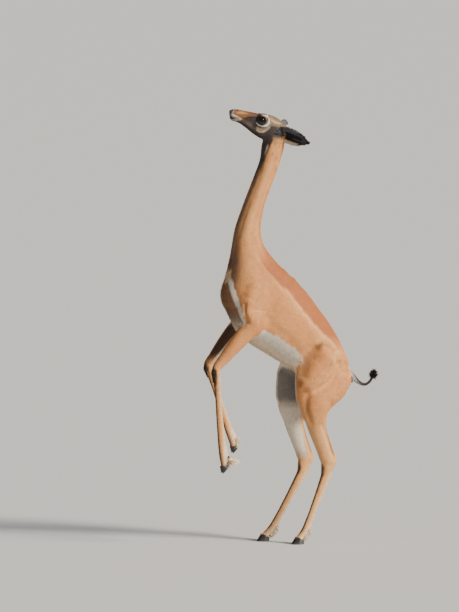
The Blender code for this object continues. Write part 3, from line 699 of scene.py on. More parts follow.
# Body: centre, way, half length, half width, height.
BODY_SWELLS = [
    ((68, -100, 790), (0.5, 0, -0.6), 50, 32, -6),
    ((95, -105, 765), (0.5, 0, 0.8), 60, 34, 4.5),
    ((70, -112, 600), (0.1, 0, 1), 60, 34, 3),
    ((-262, -85, 975), (0.2, 0, 1), 30, 22, 5),
    ((-205, -105, 955), (0.8, 0, 0.5), 45, 28, 4),
    ((-300, -92, 850), (0.6, 0, 0.8), 55, 18, 2.5),
    ((-150, -92, 1080), (0.6, 0, -0.8), 60, 40, -2),
    ((124, -95, 352), (0.2, 0, 1), 16, 12, 2.2),
    ((120, -95, 318), (0.2, 0, 1), 12, 10, 1.6),
    ((145, -78, 345), (0.3, 0, 1), 14, 16, 3),
]
NOSTRIL = [(211, 7.5, 34.5), (205.5, 11, 37), (198.5, 11.5, 38.5), (192.5, 10.5, 39.5)]
MOUTH = [(216, 0, 2), (212, 9, 1), (203, 15, 2), (190, 17, 4), (176, 17.5, 6)]
# Head, in its own frame: path, width, height. Left side.
HEAD_LINES = [
    (MOUTH, 1.8, -2.6),
    ([(214, 8, 9), (203, 16.5, 9), (190, 17.8, 11)], 3.5, 1),
    (NOSTRIL, 3.4, -6),
    ([(209, 13, 36), (200, 16, 35.5), (190, 15.5, 37)], 2.2, 0.9),
    ([(221, 0, 30), (221, 0, 16), (217, 0, 6)], 1.6, -1.2),
    ([(106, 33.5, 13), (118, 29, 8), (132, 23.5, 7)], 4, -2),
    ([(60, 40, 0), (95, 30, -4), (130, 23, -2)], 7, 1.4),
    ([(100, 25, -22), (75, 30, -35), (45, 31, -40)], 8, -1.4),
    ([(176, 16.5, 28), (150, 18, 22), (130, 22, 14)], 6, -1),
    ([(62, 20, 56), (90, 20, 47), (112, 19, 36)], 5, 1.4),
    ([(110, 0, 48), (80, 0, 53), (50, 0, 53)], 8, -1.6),
    ([(40, 38, 34), (15, 37, 24)], 8, -2),
]
HEAD_SWELLS = [
    ((45, 33, -22), (1, 0, 0.2), 24, 18, 2.6),
    ((12, 33, -20), (0.3, 0, 1), 18, 10, -2),
    ((196, 14.5, 16), (1, 0, 0), 12, 8, 1.2),
    ((200, 0, -7), (1, 0, 0), 10, 8, 1.2),
    ((20, 16, 46), (1, 0, 0), 20, 10, 1),
]


def eye_places(points):
    """Points seen from the nearer eye: distance from its centre, then how far forward, up and outward."""
    head = in_head(points)
    side = np.where(head[:, 1] < 0, -1.0, 1.0)
    away = np.stack([head[:, 0], head[:, 1] * side, head[:, 2]], 1) - EYE_AT
    aim = unit(np.asarray(EYE_AIM, float))
    up = unit(np.array([-0.3, 0.0, 1.0]) - aim * (np.array([-0.3, 0.0, 1.0]) @ aim))
    ahead = np.cross(aim, up)
    return np.linalg.norm(away, axis=1), away @ ahead, away @ up, away @ aim


def eye_opening(points):
    """How far inside the lids' opening a point is, in metres: a leaf shape with corners before and behind."""
    _, ahead, up, aim = eye_places(points)
    half = EYE_HALF_LENGTH
    tall = np.where(up > 0, EYE_ABOVE, EYE_BELOW)
    leaf = tall * np.maximum(1 - np.abs(ahead / half) ** 2.2, 0.0) ** 0.62 - np.abs(up)
    leaf = np.where(np.abs(ahead) > half, half - np.abs(ahead), leaf)
    return np.where(aim > 0, leaf, -0.05)


def relief(points):
    """The sum of all ridges and swellings, with the lids round the eyes: a rim, a fold and a sunk opening."""
    left = as_left(points)
    body = points[:, 2] < HEAD_FROM
    height = np.zeros(len(points))
    for row in BODY_LINES:
        height[body] += line_relief(left[body], *row)
    for row in BODY_SWELLS:
        height[body] += swell(left[body], *row)
    skull = points[:, 2] > 1.66
    head = in_head(points[skull])
    head[:, 1] = np.abs(head[:, 1])
    extra = sum(line_relief(head, *row) for row in HEAD_LINES)
    extra += sum(swell(head, *row) for row in HEAD_SWELLS)
    far = eye_places(points[skull])[0]
    near = 1 - ramp(far, 0.024, 0.03)
    inside = eye_opening(points[skull])
    rim = np.exp(-((inside + 0.0016) / 0.0014) ** 2) * 0.0007
    rim = rim - np.exp(-((inside + 0.0052) / 0.0016) ** 2) * 0.0009
    extra += near * (rim - 0.005 * ramp(inside, -0.0006, 0.001))
    height[skull] += extra
    return height


# Regions and the ways along and round them.

REGIONS = ("spine", "fore_left", "fore_right", "hind_left", "hind_right", "tail", "head", "ear_left",
           "ear_right")


def regions_of(points, parts):
    """Which region each point belongs to: the one whose surface is nearest."""
    rows = dict(zip(parts, part_distances(points, parts)))
    rows["spine"] = np.minimum(rows["spine"], rows["breast"])
    flesh = [rows[name] for name in rows if name.startswith(("skull", "jaw", "brow", "lid"))]
    rows["head"] = np.minimum.reduce(flesh)
    rows["head"] = np.where(points[:, 2] > HEAD_FROM, rows["head"] - 0.004, rows["head"])
    table = np.array([rows[name] for name in REGIONS])
    for row in (7, 8):
        table[row] = np.where(table[row] < 0.0015, table[row] - 0.002, 1.0)
    return table.argmin(0), table


def head_round(points):
    """Metres back from the nose, angle round the head's own axis, and distance from it."""
    head = in_head(points)
    ahead, aside, above = head[:, 0], head[:, 1], head[:, 2] - 0.004 - 0.05 * head[:, 0]
    return ahead, np.arctan2(aside, above), np.hypot(aside, above)


def chart(points, region, parts):
    """Metres along each point's own region, angle round it and distance from its middle line."""
    along = np.zeros(len(points))
    turn = np.zeros(len(points))
    girth = np.zeros(len(points))
    for number, name in enumerate(REGIONS):
        own = region == number
        if not own.any():
            continue
        if name == "head":
            ahead, angle, away = head_round(points[own])
            along[own] = -ahead + 0.55 * away * np.sign(ahead - 0.06)
            turn[own], girth[own] = angle, away
        elif name.startswith("ear"):
            far, across, rise, _ = leaf_place(points[own], parts[name][1])
            along[own] = far * parts[name][1]["length"]
            front = rise > 0
            across = np.clip(across, -1.1, 1.1)
            turn[own] = np.where(front, across, np.sign(across + 1e-9) * (2.2 - np.abs(across))) * (pi / 2.3)
            girth[own] = 0.018
        else:
            tube = parts[name][1]
            place, (u, v, w), _ = tube_place(points[own], tube)
            away = np.hypot(u, v)
            last = len(tube["centre"]) - 1
            end = np.where(place < 1, 1.0, np.where(place > last - 1, -1.0, 0.0))
            if name == "spine":
                end = ramp(place, 14, 0)
                angle = np.arctan2(v, u)
            else:
                angle = np.arctan2(v, -u)
            along[own] = place * tube["pace"] + np.where((place <= 0) | (place >= last), w,
                                                         0.0) + 0.5 * away * end
            turn[own], girth[own] = angle, away
    return along, turn, girth


# Each region's rectangle on the unwrap: low and high across, low and high up.
SHEETS = {
    "spine": (0.01, 0.44, 0.01, 0.99), "head": (0.45, 0.99, 0.56, 0.99),
    "fore_left": (0.45, 0.535, 0.01, 0.545), "fore_right": (0.545, 0.63, 0.01, 0.545),
    "hind_left": (0.64, 0.745, 0.01, 0.545), "hind_right": (0.755, 0.86, 0.01, 0.545),
    "ear_left": (0.87, 0.99, 0.21, 0.38), "ear_right": (0.87, 0.99, 0.39, 0.55),
    "tail": (0.87, 0.99, 0.01, 0.195),
}


def unwrapped(along, turn, region, faces):
    """Places of the corners on the unwrap, and the same in metres for hair patterns. A face that spans the
    line where turns start again is laid out whole, past the edge of its sheet's turns."""
    owner = region[faces[:, 0]]
    angle = turn[faces]
    angle = angle[:, :1] + (angle - angle[:, :1] + pi) % (2 * pi) - pi
    reach = along[faces]
    uv = np.zeros((len(faces), 3, 2))
    for number, name in enumerate(REGIONS):
        own = owner == number
        if not own.any():
            continue
        left, right, low, high = SHEETS[name]
        start, end = reach[own].min(), reach[own].max()
        uv[own, :, 0] = left + (right - left) * (0.5 + angle[own] / (2 * pi) * 0.94)
        uv[own, :, 1] = low + (high - low) * (reach[own] - start) / (end - start)
    uv[..., 0] = np.clip(uv[..., 0], 0.001, 0.999)
    return uv, angle, reach


def hair_lie(points, normals, faces, region, table, parts):
    """The way the hair lies: from the nose back along head and spine, and down the legs, along the skin."""
    ways = np.zeros((len(REGIONS), len(points), 3))
    for number, name in enumerate(REGIONS):
        near = table[number] < 0.06
        if name == "head":
            ways[number, near] = HEAD[0] * -1.0
        elif name.startswith("ear"):
            ways[number, near] = parts[name][1]["axis"]
        else:
            tube = parts[name][1]
            _, _, blend = tube_place(points[near], tube)
            ways[number, near] = blend["along"] * tube["lie"]
    share = np.exp(-(table - table.min(0)) / 0.01)
    lie = (ways * share[..., None]).sum(0)
    trunk = (region == 0) & (points[:, 2] < 1.15)
    lie[trunk] += np.array([0.1, 0.0, -0.25])
    for _ in range(3):
        lie = unit(lie - normals * (lie * normals).sum(1, keepdims=True))
        lie = spread_out(lie, faces, 5)
    return unit(lie - normals * (lie * normals).sum(1, keepdims=True))


# Markings, the same for skin and hair. Colours are linear.

FAWN = (0.68, 0.262, 0.076)
SADDLE = (0.42, 0.112, 0.027)
PALE = (0.84, 0.435, 0.17)
WHITE = (0.8, 0.7, 0.56)
CREAM = (0.8, 0.56, 0.31)
SHADED_BROWN = (0.155, 0.086, 0.05)
RUFOUS = (0.42, 0.15, 0.04)
BLACK = (0.014, 0.012, 0.011)

# Left flank: where the saddle ends, and where the white of the belly begins.
SADDLE_BORDER = [(-165, -63, 1199), (-112, -79, 1131), (-48, -88, 1072), (16, -99, 986),
                 (85, -95, 908), (159, -79, 841)]
BELLY_BORDER = [(-227, -111, 951), (-189, -106, 920), (-140, -94, 905), (-96, -98, 883),
                (-51, -96, 848), (-14, -93, 822), (23, -91, 782)]
# Left side: the streak beside the chest; the hollows before the thigh and behind the stifle, with darker
# hair and painted shade; and the ridges of the thigh and the hip, with a painted highlight.
CHEST_STREAK = [(-300, -36, 1125), (-293, -47, 1090), (-281, -64, 1042), (-262, -84, 975), (-250, -80, 930)]
HOLLOW = [(83, -99, 845), (56, -100, 816), (28, -93, 778), (8, -89, 732), (-2, -93, 686)]
STIFLE = [(38, -113, 657), (21, -109, 623), (18, -105, 580), (32, -105, 537)]
CREST = [(147, -99, 788), (141, -103, 754), (121, -109, 722), (87, -114, 698), (56, -113, 681),
         (30, -109, 665)]
HIP = [(74, -101, 862), (108, -95, 861), (143, -86, 842), (166, -85, 816)]


def tint(colour, new, mask):
    """Colour mixed towards a new one by the mask."""
    mask = np.clip(mask, 0.0, 1.0)[:, None]
    return colour * (1 - mask) + np.asarray(new) * mask


def stroke(points, path, half, soft):
    """A painted stroke: 1 within half of a path, 0 beyond, fading over soft. Half may change on the way."""
    away, share = path_distance(points, path)
    half = np.interp(share, np.linspace(0, 1, np.size(half)), np.atleast_1d(half))
    return 1 - ramp(away, half - soft / 2, half + soft / 2)


def painted(colour, points, rows):
    """Strokes laid on one after another. A row: colour, strength, path, half width, softness."""
    for tone, strength, path, half, soft in rows:
        colour = tint(colour, tone, strength * stroke(points, metres(path), metres(half), metres(soft)))
    return colour


def patchy(points, size, seed=0.0):
    """A soft uneven field from -1 to 1: sines of turned and bent coordinates, multiplied and added."""
    a, b, c = (points / size).T
    first = np.sin(a * 1.7 + 1.3 * np.sin(b * 1.1 + seed) + seed)
    first = first * np.sin(b * 1.9 + 1.1 * np.sin(c * 1.3) - seed)
    second = np.sin(c * 2.3 + 1.7 * np.sin(a * 0.9 + 2 * seed)) * np.sin((a + b) * 2.9 + seed)
    return 0.6 * first + 0.4 * second


def spine_turn(points, spine):
    """Metres along the spine, and the turn from the back line, 0, to the belly line, pi."""
    place, (u, v, _), _ = tube_place(points, spine)
    return place * spine["pace"], np.arctan2(np.abs(v), -u)


def border_turn(along, border, spine):
    """The turn at which a border lies, at metres along the spine."""
    at, turn = spine_turn(metres(border), spine)
    order = np.argsort(at)
    return np.interp(along, at[order], turn[order])


def body_colours(points, normals, region, parts):
    """Fawn with its patches: tints laid on by turn round the spine and by height."""
    spine = parts["spine"][1]
    along, turn = spine_turn(points, spine)
    y, z = points[:, 1], points[:, 2]
    wave = patchy(points, 0.011) * 0.05
    colour = np.tile(FAWN, (len(points), 1))
    colour = tint(colour, PALE, 0.22 + 0.22 * patchy(points, 0.05, 2.0))
    # Neck and its front. The dark stripe down the front is partly darker hair, partly painted shade.
    neck = ramp(z, 1.2, 1.3) * fade(z, 1.7, 1.76)
    colour = tint(colour, PALE, 0.38 * neck * ramp(turn, 0.9, 1.9))
    colour = tint(colour, SADDLE, 0.65 * fade(turn, 0.3, 0.95) * ramp(z, 1.12, 1.2) * fade(z, 1.4, 1.6))
    dark_front_and_shade = (0.35 * ramp(turn + wave, 1.95, 2.45) + 0.55 * ramp(turn + wave, 2.3, 2.75)) * ramp(z, 1.1, 1.2)
    colour = tint(colour, (0.13, 0.075, 0.048), dark_front_and_shade)
    streaks = np.sin(turn * 15 + 3 * patchy(points, 0.09)) * np.sin(turn * 6 + along * 9)
    colour = tint(colour, PALE, 0.3 * neck * ramp(streaks, 0.0, 0.8))
    colour = tint(colour, FAWN, 0.35 * neck * ramp(-streaks, 0.0, 0.8))
    # Saddle with its light border.
    edge = border_turn(along, SADDLE_BORDER, spine) - turn + wave
    reach = ramp(z, 0.8, 0.9) * fade(z, 1.16, 1.3)
    colour = tint(colour, PALE, 0.95 * reach * np.exp(-((edge + 0.06) / 0.06) ** 2)
                  * (1 - 0.75 * ramp(z, 1.04, 1.14)))
    colour = tint(colour, SADDLE, reach * ramp(edge, -0.02, 0.07) * 0.85)
    colour = tint(colour, RUFOUS, 0.5 * fade(turn, 0.1, 0.55) * ramp(z, 0.72, 0.8) * fade(z, 1.22, 1.34))
    # White below.
    low = turn - border_turn(along, BELLY_BORDER, spine) + wave
    trunk = (region == 0) | (region == 3) | (region == 4)
    belly = trunk * ramp(low, -0.02, 0.05) * ramp(z, 0.66, 0.7) * fade(z, 0.96, 1.0)
    belly = belly * fade(points[:, 0] - 0.3 * (0.95 - z), 0.05, 0.08)
    outer_side = normals[:, 1] * np.sign(y)
    on_trunk = 1 - ramp(points[:, 0] + 0.5 * wave, -0.002, 0.016) * ramp(outer_side, 0.3, 0.6)
    belly = belly * np.where(region == 0, on_trunk, 1 - ramp(outer_side, -0.1, 0.25))
    colour = tint(colour, WHITE, belly)
    # Cream along the belly line underneath: painted shade on the white.
    colour = tint(colour, CREAM, 0.45 * belly * ramp(turn + wave, 2.5, 2.85))
    # Chest: brown in front, darkened further as painted shade, white streaks beside it, a cream patch at the
    # root of the neck.
    chest = ramp(z, 0.92, 0.98) * fade(z, 1.15, 1.2) * ramp(turn, 2.35, 2.75)
    colour = tint(colour, SHADED_BROWN, 0.8 * chest)
    left = np.stack([points[:, 0], -np.abs(y), z], 1)
    streak, _ = path_distance(left, metres(CHEST_STREAK))
    colour = tint(colour, WHITE, 0.95 * fade(streak + 0.08 * wave, 0.008, 0.0145))
    patch = np.linalg.norm((points - (-0.302, -0.012, 1.15)) / (1, 1.2, 2.0), axis=1)
    colour = tint(colour, CREAM, 0.8 * fade(patch + 0.1 * wave, 0.012, 0.022))
    # A brown spot in the groove before the shoulder: painted shade.
    spot = np.linalg.norm((left - (-0.252, -0.094, 1.022)) / (1, 1, 1.8), axis=1)
    colour = tint(colour, SHADED_BROWN, 0.55 * fade(spot, 0.004, 0.016))
    # Rump and the hair beside the tail.
    rump = np.linalg.norm((points - (0.22, 0.0, 0.655)) / (1, 1.0, 1.5), axis=1)
    colour = tint(colour, WHITE, 0.8 * fade(rump, 0.026, 0.044))
    # The haunch: painted shade, with some darker hair, in the hollow before the thigh and behind the stifle,
    # and a painted highlight on the ridges.
    shade = stroke(left, metres(HOLLOW), (0.01, 0.02, 0.018, 0.012), 0.034)
    colour = tint(colour, (0.15, 0.06, 0.022), 0.88 * shade * (region != 5))
    shade = stroke(left, metres(STIFLE), (0.006, 0.01, 0.008), 0.024)
    colour = tint(colour, (0.22, 0.09, 0.034), 0.7 * shade)
    # Painted highlight along the ridges of the thigh and the hip.
    crest_highlight = stroke(left, metres(CREST), 0.004, 0.018)
    hip_highlight = stroke(left, metres(HIP), 0.004, 0.02)
    colour = tint(colour, (0.85, 0.47, 0.2), 0.95 * np.maximum(crest_highlight, hip_highlight))
    return colour


def leg_colours(colour, points, normals, region, parts):
    """Tints laid on by height and by the side of the leg: front, behind, inward."""
    for number, (limb, side) in enumerate((("fore", -1), ("fore", 1), ("hind", -1), ("hind", 1)), start=1):
        own = np.flatnonzero((region == number)
                             | ((region == 0) & (points[:, 1] * side > 0.012) & (points[:, 2] < 0.84)
                                                   & (limb == "hind")))
        name = REGIONS[number]
        joints = metres(JOINTS[name])
        here = points[own]
        _, (u, v, _), blend = tube_place(here, parts[name][1])
        front = u / np.maximum(blend["girth"][:, 0], 1e-3)
        behind = -u / np.maximum(blend["girth"][:, 1], 1e-3)
        aside = np.abs(v) / np.maximum(blend["girth"][:, 2], 1e-3)
        inward = -side * normals[own, 1]
        z = here[:, 2]
        part = colour[own]
        wave = patchy(here, 0.012) * 0.06
        if limb == "hind":
            # White inside the thigh and down the front of the shank, and a pale line along the flank's fold.
            upper = ramp(inward - 0.62 * normals[own, 0] + wave, 0.42, 0.58) * ramp(z, 0.54, 0.6)
            lower = ramp(inward - 0.95 * normals[own, 0] + wave, 0.72, 0.92)
            lower = lower * ramp(inward + 0.4 * front, 0.0, 0.3)
            lower = lower * fade(z, 0.56, 0.62) * ramp(z, 0.345, 0.4) * ramp(front + wave, -0.2, 0.05)
            fold = ramp(-normals[own, 0] + 0.9 * inward + wave, 0.62, 0.8)
            fold = fold * fade(z, 0.72, 0.75) * ramp(z, 0.345, 0.38)
            white = np.maximum(upper, lower) * fade(here[:, 0], 0.15, 0.2) * fade(z, 0.76, 0.8)
            part = tint(part, PALE, 0.85 * fade(z, 0.46, 0.58))
            part = tint(part, WHITE, 0.95 * white)
            part = tint(part, (0.46, 0.42, 0.39), 0.9 * fold * (1 - white))
            # The upper inside of the thigh: grey over the white, a painted shadow of the other leg.
            part = tint(part, (0.15, 0.132, 0.125), 0.88 * upper * ramp(z, 0.56, 0.62)
                        * ramp(inward, 0.2, 0.6))
            # A dark line in the groove before the tendon: painted shade.
            tendon_groove_shade = ramp(z, 0.365, 0.385) * fade(z, 0.49, 0.53)
            part = tint(part, (0.11, 0.045, 0.018), 0.85 * tendon_groove_shade * np.exp(-((behind - 0.7) / 0.11) ** 2)
                        * ramp(aside, 0.2, 0.5))
            hock = joints[6]
            # Near black in the bend at the front of the hock: painted shadow.
            hock_bend_shadow = np.linalg.norm((here - hock - (-0.036, 0, -0.04)) / (1, 1, 1.7), axis=1)
            part = tint(part, (0.03, 0.02, 0.016), 0.85 * fade(hock_bend_shadow + 0.1 * wave, 0.01, 0.024)
                        * ramp(front, 0.3, 0.7))
            crossing = stroke(here, [hock + (0.014, side * 0.019, -0.002), hock + (0.0, side * 0.02, -0.01),
                                     hock + (-0.008, side * 0.02, -0.022)], 0.0012, 0.0035)
            part = tint(part, (0.15, 0.065, 0.028), 0.7 * crossing)
            cannon = ramp(z, 0.035, 0.06) * fade(z, hock[2] - 0.07, hock[2] - 0.03)
            foot = 1 - ramp(z, 0.05, 0.115)
        else:
            knee, fetlock = joints[3], joints[4]
            forearm = ramp(z, knee[2] - 0.02, knee[2] + 0.05)
            inside = forearm * ramp(inward + wave, -0.1, 0.35)
            # The front half of the forearm's inside: near black, partly dark hair, partly painted shade.
            part = tint(part, (0.045, 0.028, 0.02), 0.92 * inside * ramp(front + wave, -0.22, 0.02)
                        * fade(z, 0.93, 1.0))
            part = tint(part, WHITE, 0.95 * inside * ramp(-front + wave, 0.02, 0.22) * fade(z, 0.9, 0.94))
            part = tint(part, PALE, 0.55 * (1 - forearm))
            at = np.linalg.norm((here - knee - (-0.016, 0, -0.032)) / (1, 1, 2.6), axis=1)
            part = tint(part, BLACK, 0.97 * fade(at + 0.08 * wave, 0.016, 0.025) * ramp(front, -0.05, 0.3))
            cannon = 1 - ramp(z, knee[2] - 0.05, knee[2] - 0.01)
            foot = 1 - ramp(np.linalg.norm(here - fetlock, axis=1), 0.03, 0.08)
        # Cannons: a dark line down the front, partly darker hair, partly painted shade, and a pale back.
        part = tint(part, CREAM, 0.7 * cannon * ramp(behind, -0.1, 0.5))
        part = tint(part, (0.85, 0.68, 0.45), 0.8 * foot * ramp(-front, -0.5, 0.2))
        part = tint(part, (0.085, 0.036, 0.016), 0.9 * cannon * ramp(front + wave, 0.62, 0.86))
        centre, normal = coronet(name)
        rim = (here - centre) @ normal
        part = tint(part, (0.05, 0.03, 0.02), 0.6 * fade(rim, 0.001, 0.008) * ramp(front, 0.0, 0.6))
        colour[own] = part
    return colour


# Head, in its own frame, left side. The upper edge of the painted shade on the cheek is given as forward
# and up, the back edge of the painted shadow on the throat and neck as up and forward.
CHEEK = [(-40, -30), (-20, -12), (0, -2), (20, 8), (40, 6), (100, 20), (118, 24),
         (135, 18), (150, 12), (161, 6), (172, -2), (185, -12)]
THROAT = [(-250, 48), (-200, 45), (-162, 36), (-139, 31), (-121, 29), (-99, 28), (-77, 25),
          (-55, 22), (-36, 20), (-27, -2), (-15, -30), (0, -60)]
CHEEK_THROAT_SHADE = (0.052, 0.037, 0.032)
# Light spots below the ear: forward, aside, up, radius.
NECK_SPOTS = [(6, 39, -61, 7), (-15, 38, -64, 6), (7, 38, -103, 6), (-18, 36, -117, 8), (-30, 26, -160, 7)]


# Strokes on the head, in its own frame, left side: colour, strength, path, half width, softness.
HEAD_STROKES = {
    "muzzle": [
     ((0.42, 0.23, 0.09), 0.75, [(193, 15, 27), (170, 15, 33), (150, 16, 34)], (3, 5, 2), 7),
    ],
    "throat": [
     ((0.026, 0.016, 0.012), 0.8, [(180, 9, -8), (143, 8, -20), (118, 8, -31), (87, 10, -44),
          (60, 10, -56)], 5, 8),
     ((0.5, 0.39, 0.25), 0.9, [(34, 30, -77), (36, 28, -93), (37, 25, -111), (35, 28, -130),
          (38, 26, -160)], (5.5, 4.5, 1.5), 5),
     ((0.045, 0.024, 0.018), 0.9, [(22, 34, -50), (25, 34, -64), (27, 33, -86), (29, 32, -110),
          (33, 29, -140)], (4, 3, 1), 5),
     ((0.26, 0.115, 0.05), 0.85, [(19, 35, -39), (8, 37, -32), (-4, 38, -26)], 3, 6),
    ],
    "crown": [
     ((0.5, 0.35, 0.19), 0.85, [(40, 32, 32), (25, 33, 26), (4, 30, 26)], 5, 6),
     ((0.4, 0.27, 0.15), 0.6, [(52, 18, 52), (38, 21, 46)], 4, 6),
     ((0.07, 0.034, 0.024), 0.9, [(150, 0, 48), (115, 6, 47), (78, 6, 50), (46, 8, 55), (33, 13, 49),
          (12, 12, 46)], (2, 6, 7, 5), 6),
     ((0.085, 0.065, 0.055), 0.85, [(112, 20, 36), (98, 29, 40)], 3.5, 5),
     ((0.62, 0.52, 0.38), 0.85, [(70, 32, 51), (65, 41, 43), (55, 39, 37)], 3, 5),
     ((0.3, 0.135, 0.06), 0.7, [(46, 36, 34), (42, 36, 22)], 2.5, 5),
     # Painted shade on the temple under the ear.
     ((0.042, 0.037, 0.036), 0.9, [(38, 36, 0), (20, 36, 1), (2, 36, -2), (-10, 36, -8),
          (0, 38, -20)], (7, 10, 13), 12),
    ],
    "eye": [
     ((0.36, 0.26, 0.165), 0.85, [(95, 22, -14), (82, 22, -19), (66, 26, -15), (53, 31, -5),
          (46, 34, 6)], (4, 7, 4), 6),
     ((0.6, 0.47, 0.32), 0.92, [(92, 19, -24), (81, 20, -29), (65, 24, -25), (53, 28, -14),
          (46, 33, -3)], (1.8, 3, 2), 4),
     ((0.105, 0.08, 0.07), 0.75, [(96, 21, -8), (82, 24, -11), (66, 29, -8), (52, 34, 3),
          (46, 36, 14)], 1.3, 3),
     ((0.74, 0.68, 0.59), 0.96, [(94, 36, 40), (79, 43, 42), (64, 43, 39), (56, 41, 28), (53, 37, 16),
          (61, 33, 3), (76, 28, -3), (91, 25, -2), (103, 24, 5)], (1.6, 2.2, 3, 4, 5.2, 4.4, 3, 1.4), 3.5),
    ],
    "lips": [
     (BLACK, 0.96, [(103, 26, 22), (112, 25, 26), (119, 23, 25.5), (135, 21, 20.5), (148, 18, 14.5),
          (163, 16, 8.5)], (5, 4.5, 3.6, 2.4), 3.5),
     ((0.72, 0.64, 0.52), 0.9, [(216, 10, 18), (205, 15, 13.5), (192, 17, 11.5), (180, 17, 8.5),
          (172, 16.5, 5)], (2.2, 3, 2.6, 4), 3),
     ((0.48, 0.43, 0.37), 0.85, [(205, 10, -6), (186, 12, -4)], 2.6, 4),
    ],
    "mouth": [
     # Black in the mouth line and the nostril: painted shade in these openings.
     (BLACK, 0.96, [(219, 4, 3), (213, 9, 1), (206, 11, 0), (192, 14.5, 1)], (4.5, 4, 2), 3),
     (BLACK, 0.9, MOUTH, 0.9, 1.4),
     ((0.006, 0.005, 0.005), 1, NOSTRIL, (3, 4.2, 3), 2.2),
    ],
}


def head_colours(colour, points, region):
    """Tints and strokes laid on in the head's own frame: forward f, aside l, up u."""
    own = np.flatnonzero((points[:, 2] > 1.5) & (region < 7))
    head = in_head(points[own])
    f, l, u = head[:, 0], np.abs(head[:, 1]), head[:, 2]
    here = np.stack([f, l, u], 1)
    part = colour[own]
    wave = patchy(head, 0.006) * 0.0015
    part = tint(part, (0.21, 0.13, 0.065), ramp(points[own, 2] + 0.5 * f, 1.69, 1.735))
    # Muzzle: rufous on top, browner towards the eyes, pale behind the nostril.
    part = tint(part, (0.2, 0.08, 0.022), ramp(f, 0.088, 0.112))
    part = tint(part, (0.24, 0.185, 0.145), ramp(f, 0.162, 0.176) * fade(u + wave, 0.006, 0.012))
    part = tint(part, (0.13, 0.048, 0.018), 0.9 * ramp(f, 0.085, 0.1) * fade(f, 0.125, 0.165))
    part = painted(part, here, HEAD_STROKES["muzzle"])
    # Cheek, throat and the front of the neck: painted shade on the cheek and throat, and the head's painted
    # shadow on the neck.
    top = np.interp(f, *metres(CHEEK).T)
    rear = np.interp(u, *metres(THROAT).T)
    cheek_throat_shade = ramp(top - u + wave, -0.002, 0.003) * ramp(f - rear + 2 * wave, -0.005, 0.004)
    cheek_throat_shade = cheek_throat_shade * ramp(points[own, 2], 1.5, 1.6)
    part = tint(part, CHEEK_THROAT_SHADE, 0.96 * cheek_throat_shade)
    part = tint(part, (0.1, 0.078, 0.066), 0.6 * cheek_throat_shade
                * fade(np.hypot((f - 0.115) / 1.5, u + 0.006), 0.008, 0.022))
    part = painted(part, here, HEAD_STROKES["throat"])
    # Streaks and spots on the upper neck.
    for *place, size in metres(NECK_SPOTS):
        away = np.linalg.norm((here - place) / (1, 1, 0.8), axis=1)
        part = tint(part, (0.22, 0.1, 0.048), 0.8 * fade(away + 2 * wave, 0.4 * size, size))
    # Crown: beige sides, a dark line along the top, a pale tuft over the eye, and grey painted shade behind it,
    # under the ear.
    part = painted(part, here, HEAD_STROKES["crown"])
    # Painted shade round the root of the ear.
    root = np.linalg.norm(here - EARS["left"][0], axis=1)
    part = tint(part, (0.052, 0.047, 0.048), 0.92 * fade(root + 2 * wave, 0.02, 0.03)
                * ramp(u, -0.036, -0.026))
    # Eye: a cream band and a grey line below the white ring, black lids.
    part = painted(part, here, HEAD_STROKES["eye"])
    from_eye, ahead, _, _ = eye_places(points[own])
    out = wave - eye_opening(points[own])
    near = 1 - ramp(from_eye, 0.032, 0.036)
    part = tint(part, BLACK, near * fade(out - 0.002 * ramp(ahead, 0.008, 0.015), 0.0022, 0.0036))
    part = painted(part, here, HEAD_STROKES["lips"])
    # Lips, nose and chin.
    tip = f + 0.35 * (u - 0.02)
    # Grey over the black nose: a painted sheen; its front edge stays black.
    part = tint(part, (0.21, 0.19, 0.2), 0.95 * ramp(tip, 0.2085, 0.2115) * ramp(u, 0.006, 0.009)
                * fade(u, 0.036, 0.042))
    part = tint(part, (0.03, 0.026, 0.026), 0.95 * ramp(tip, 0.2145, 0.2165) * ramp(u, 0.004, 0.007))
    # Painted shade in the mouth line and the nostril.
    part = painted(part, here, HEAD_STROKES["mouth"])
    colour[own] = part
    return colour


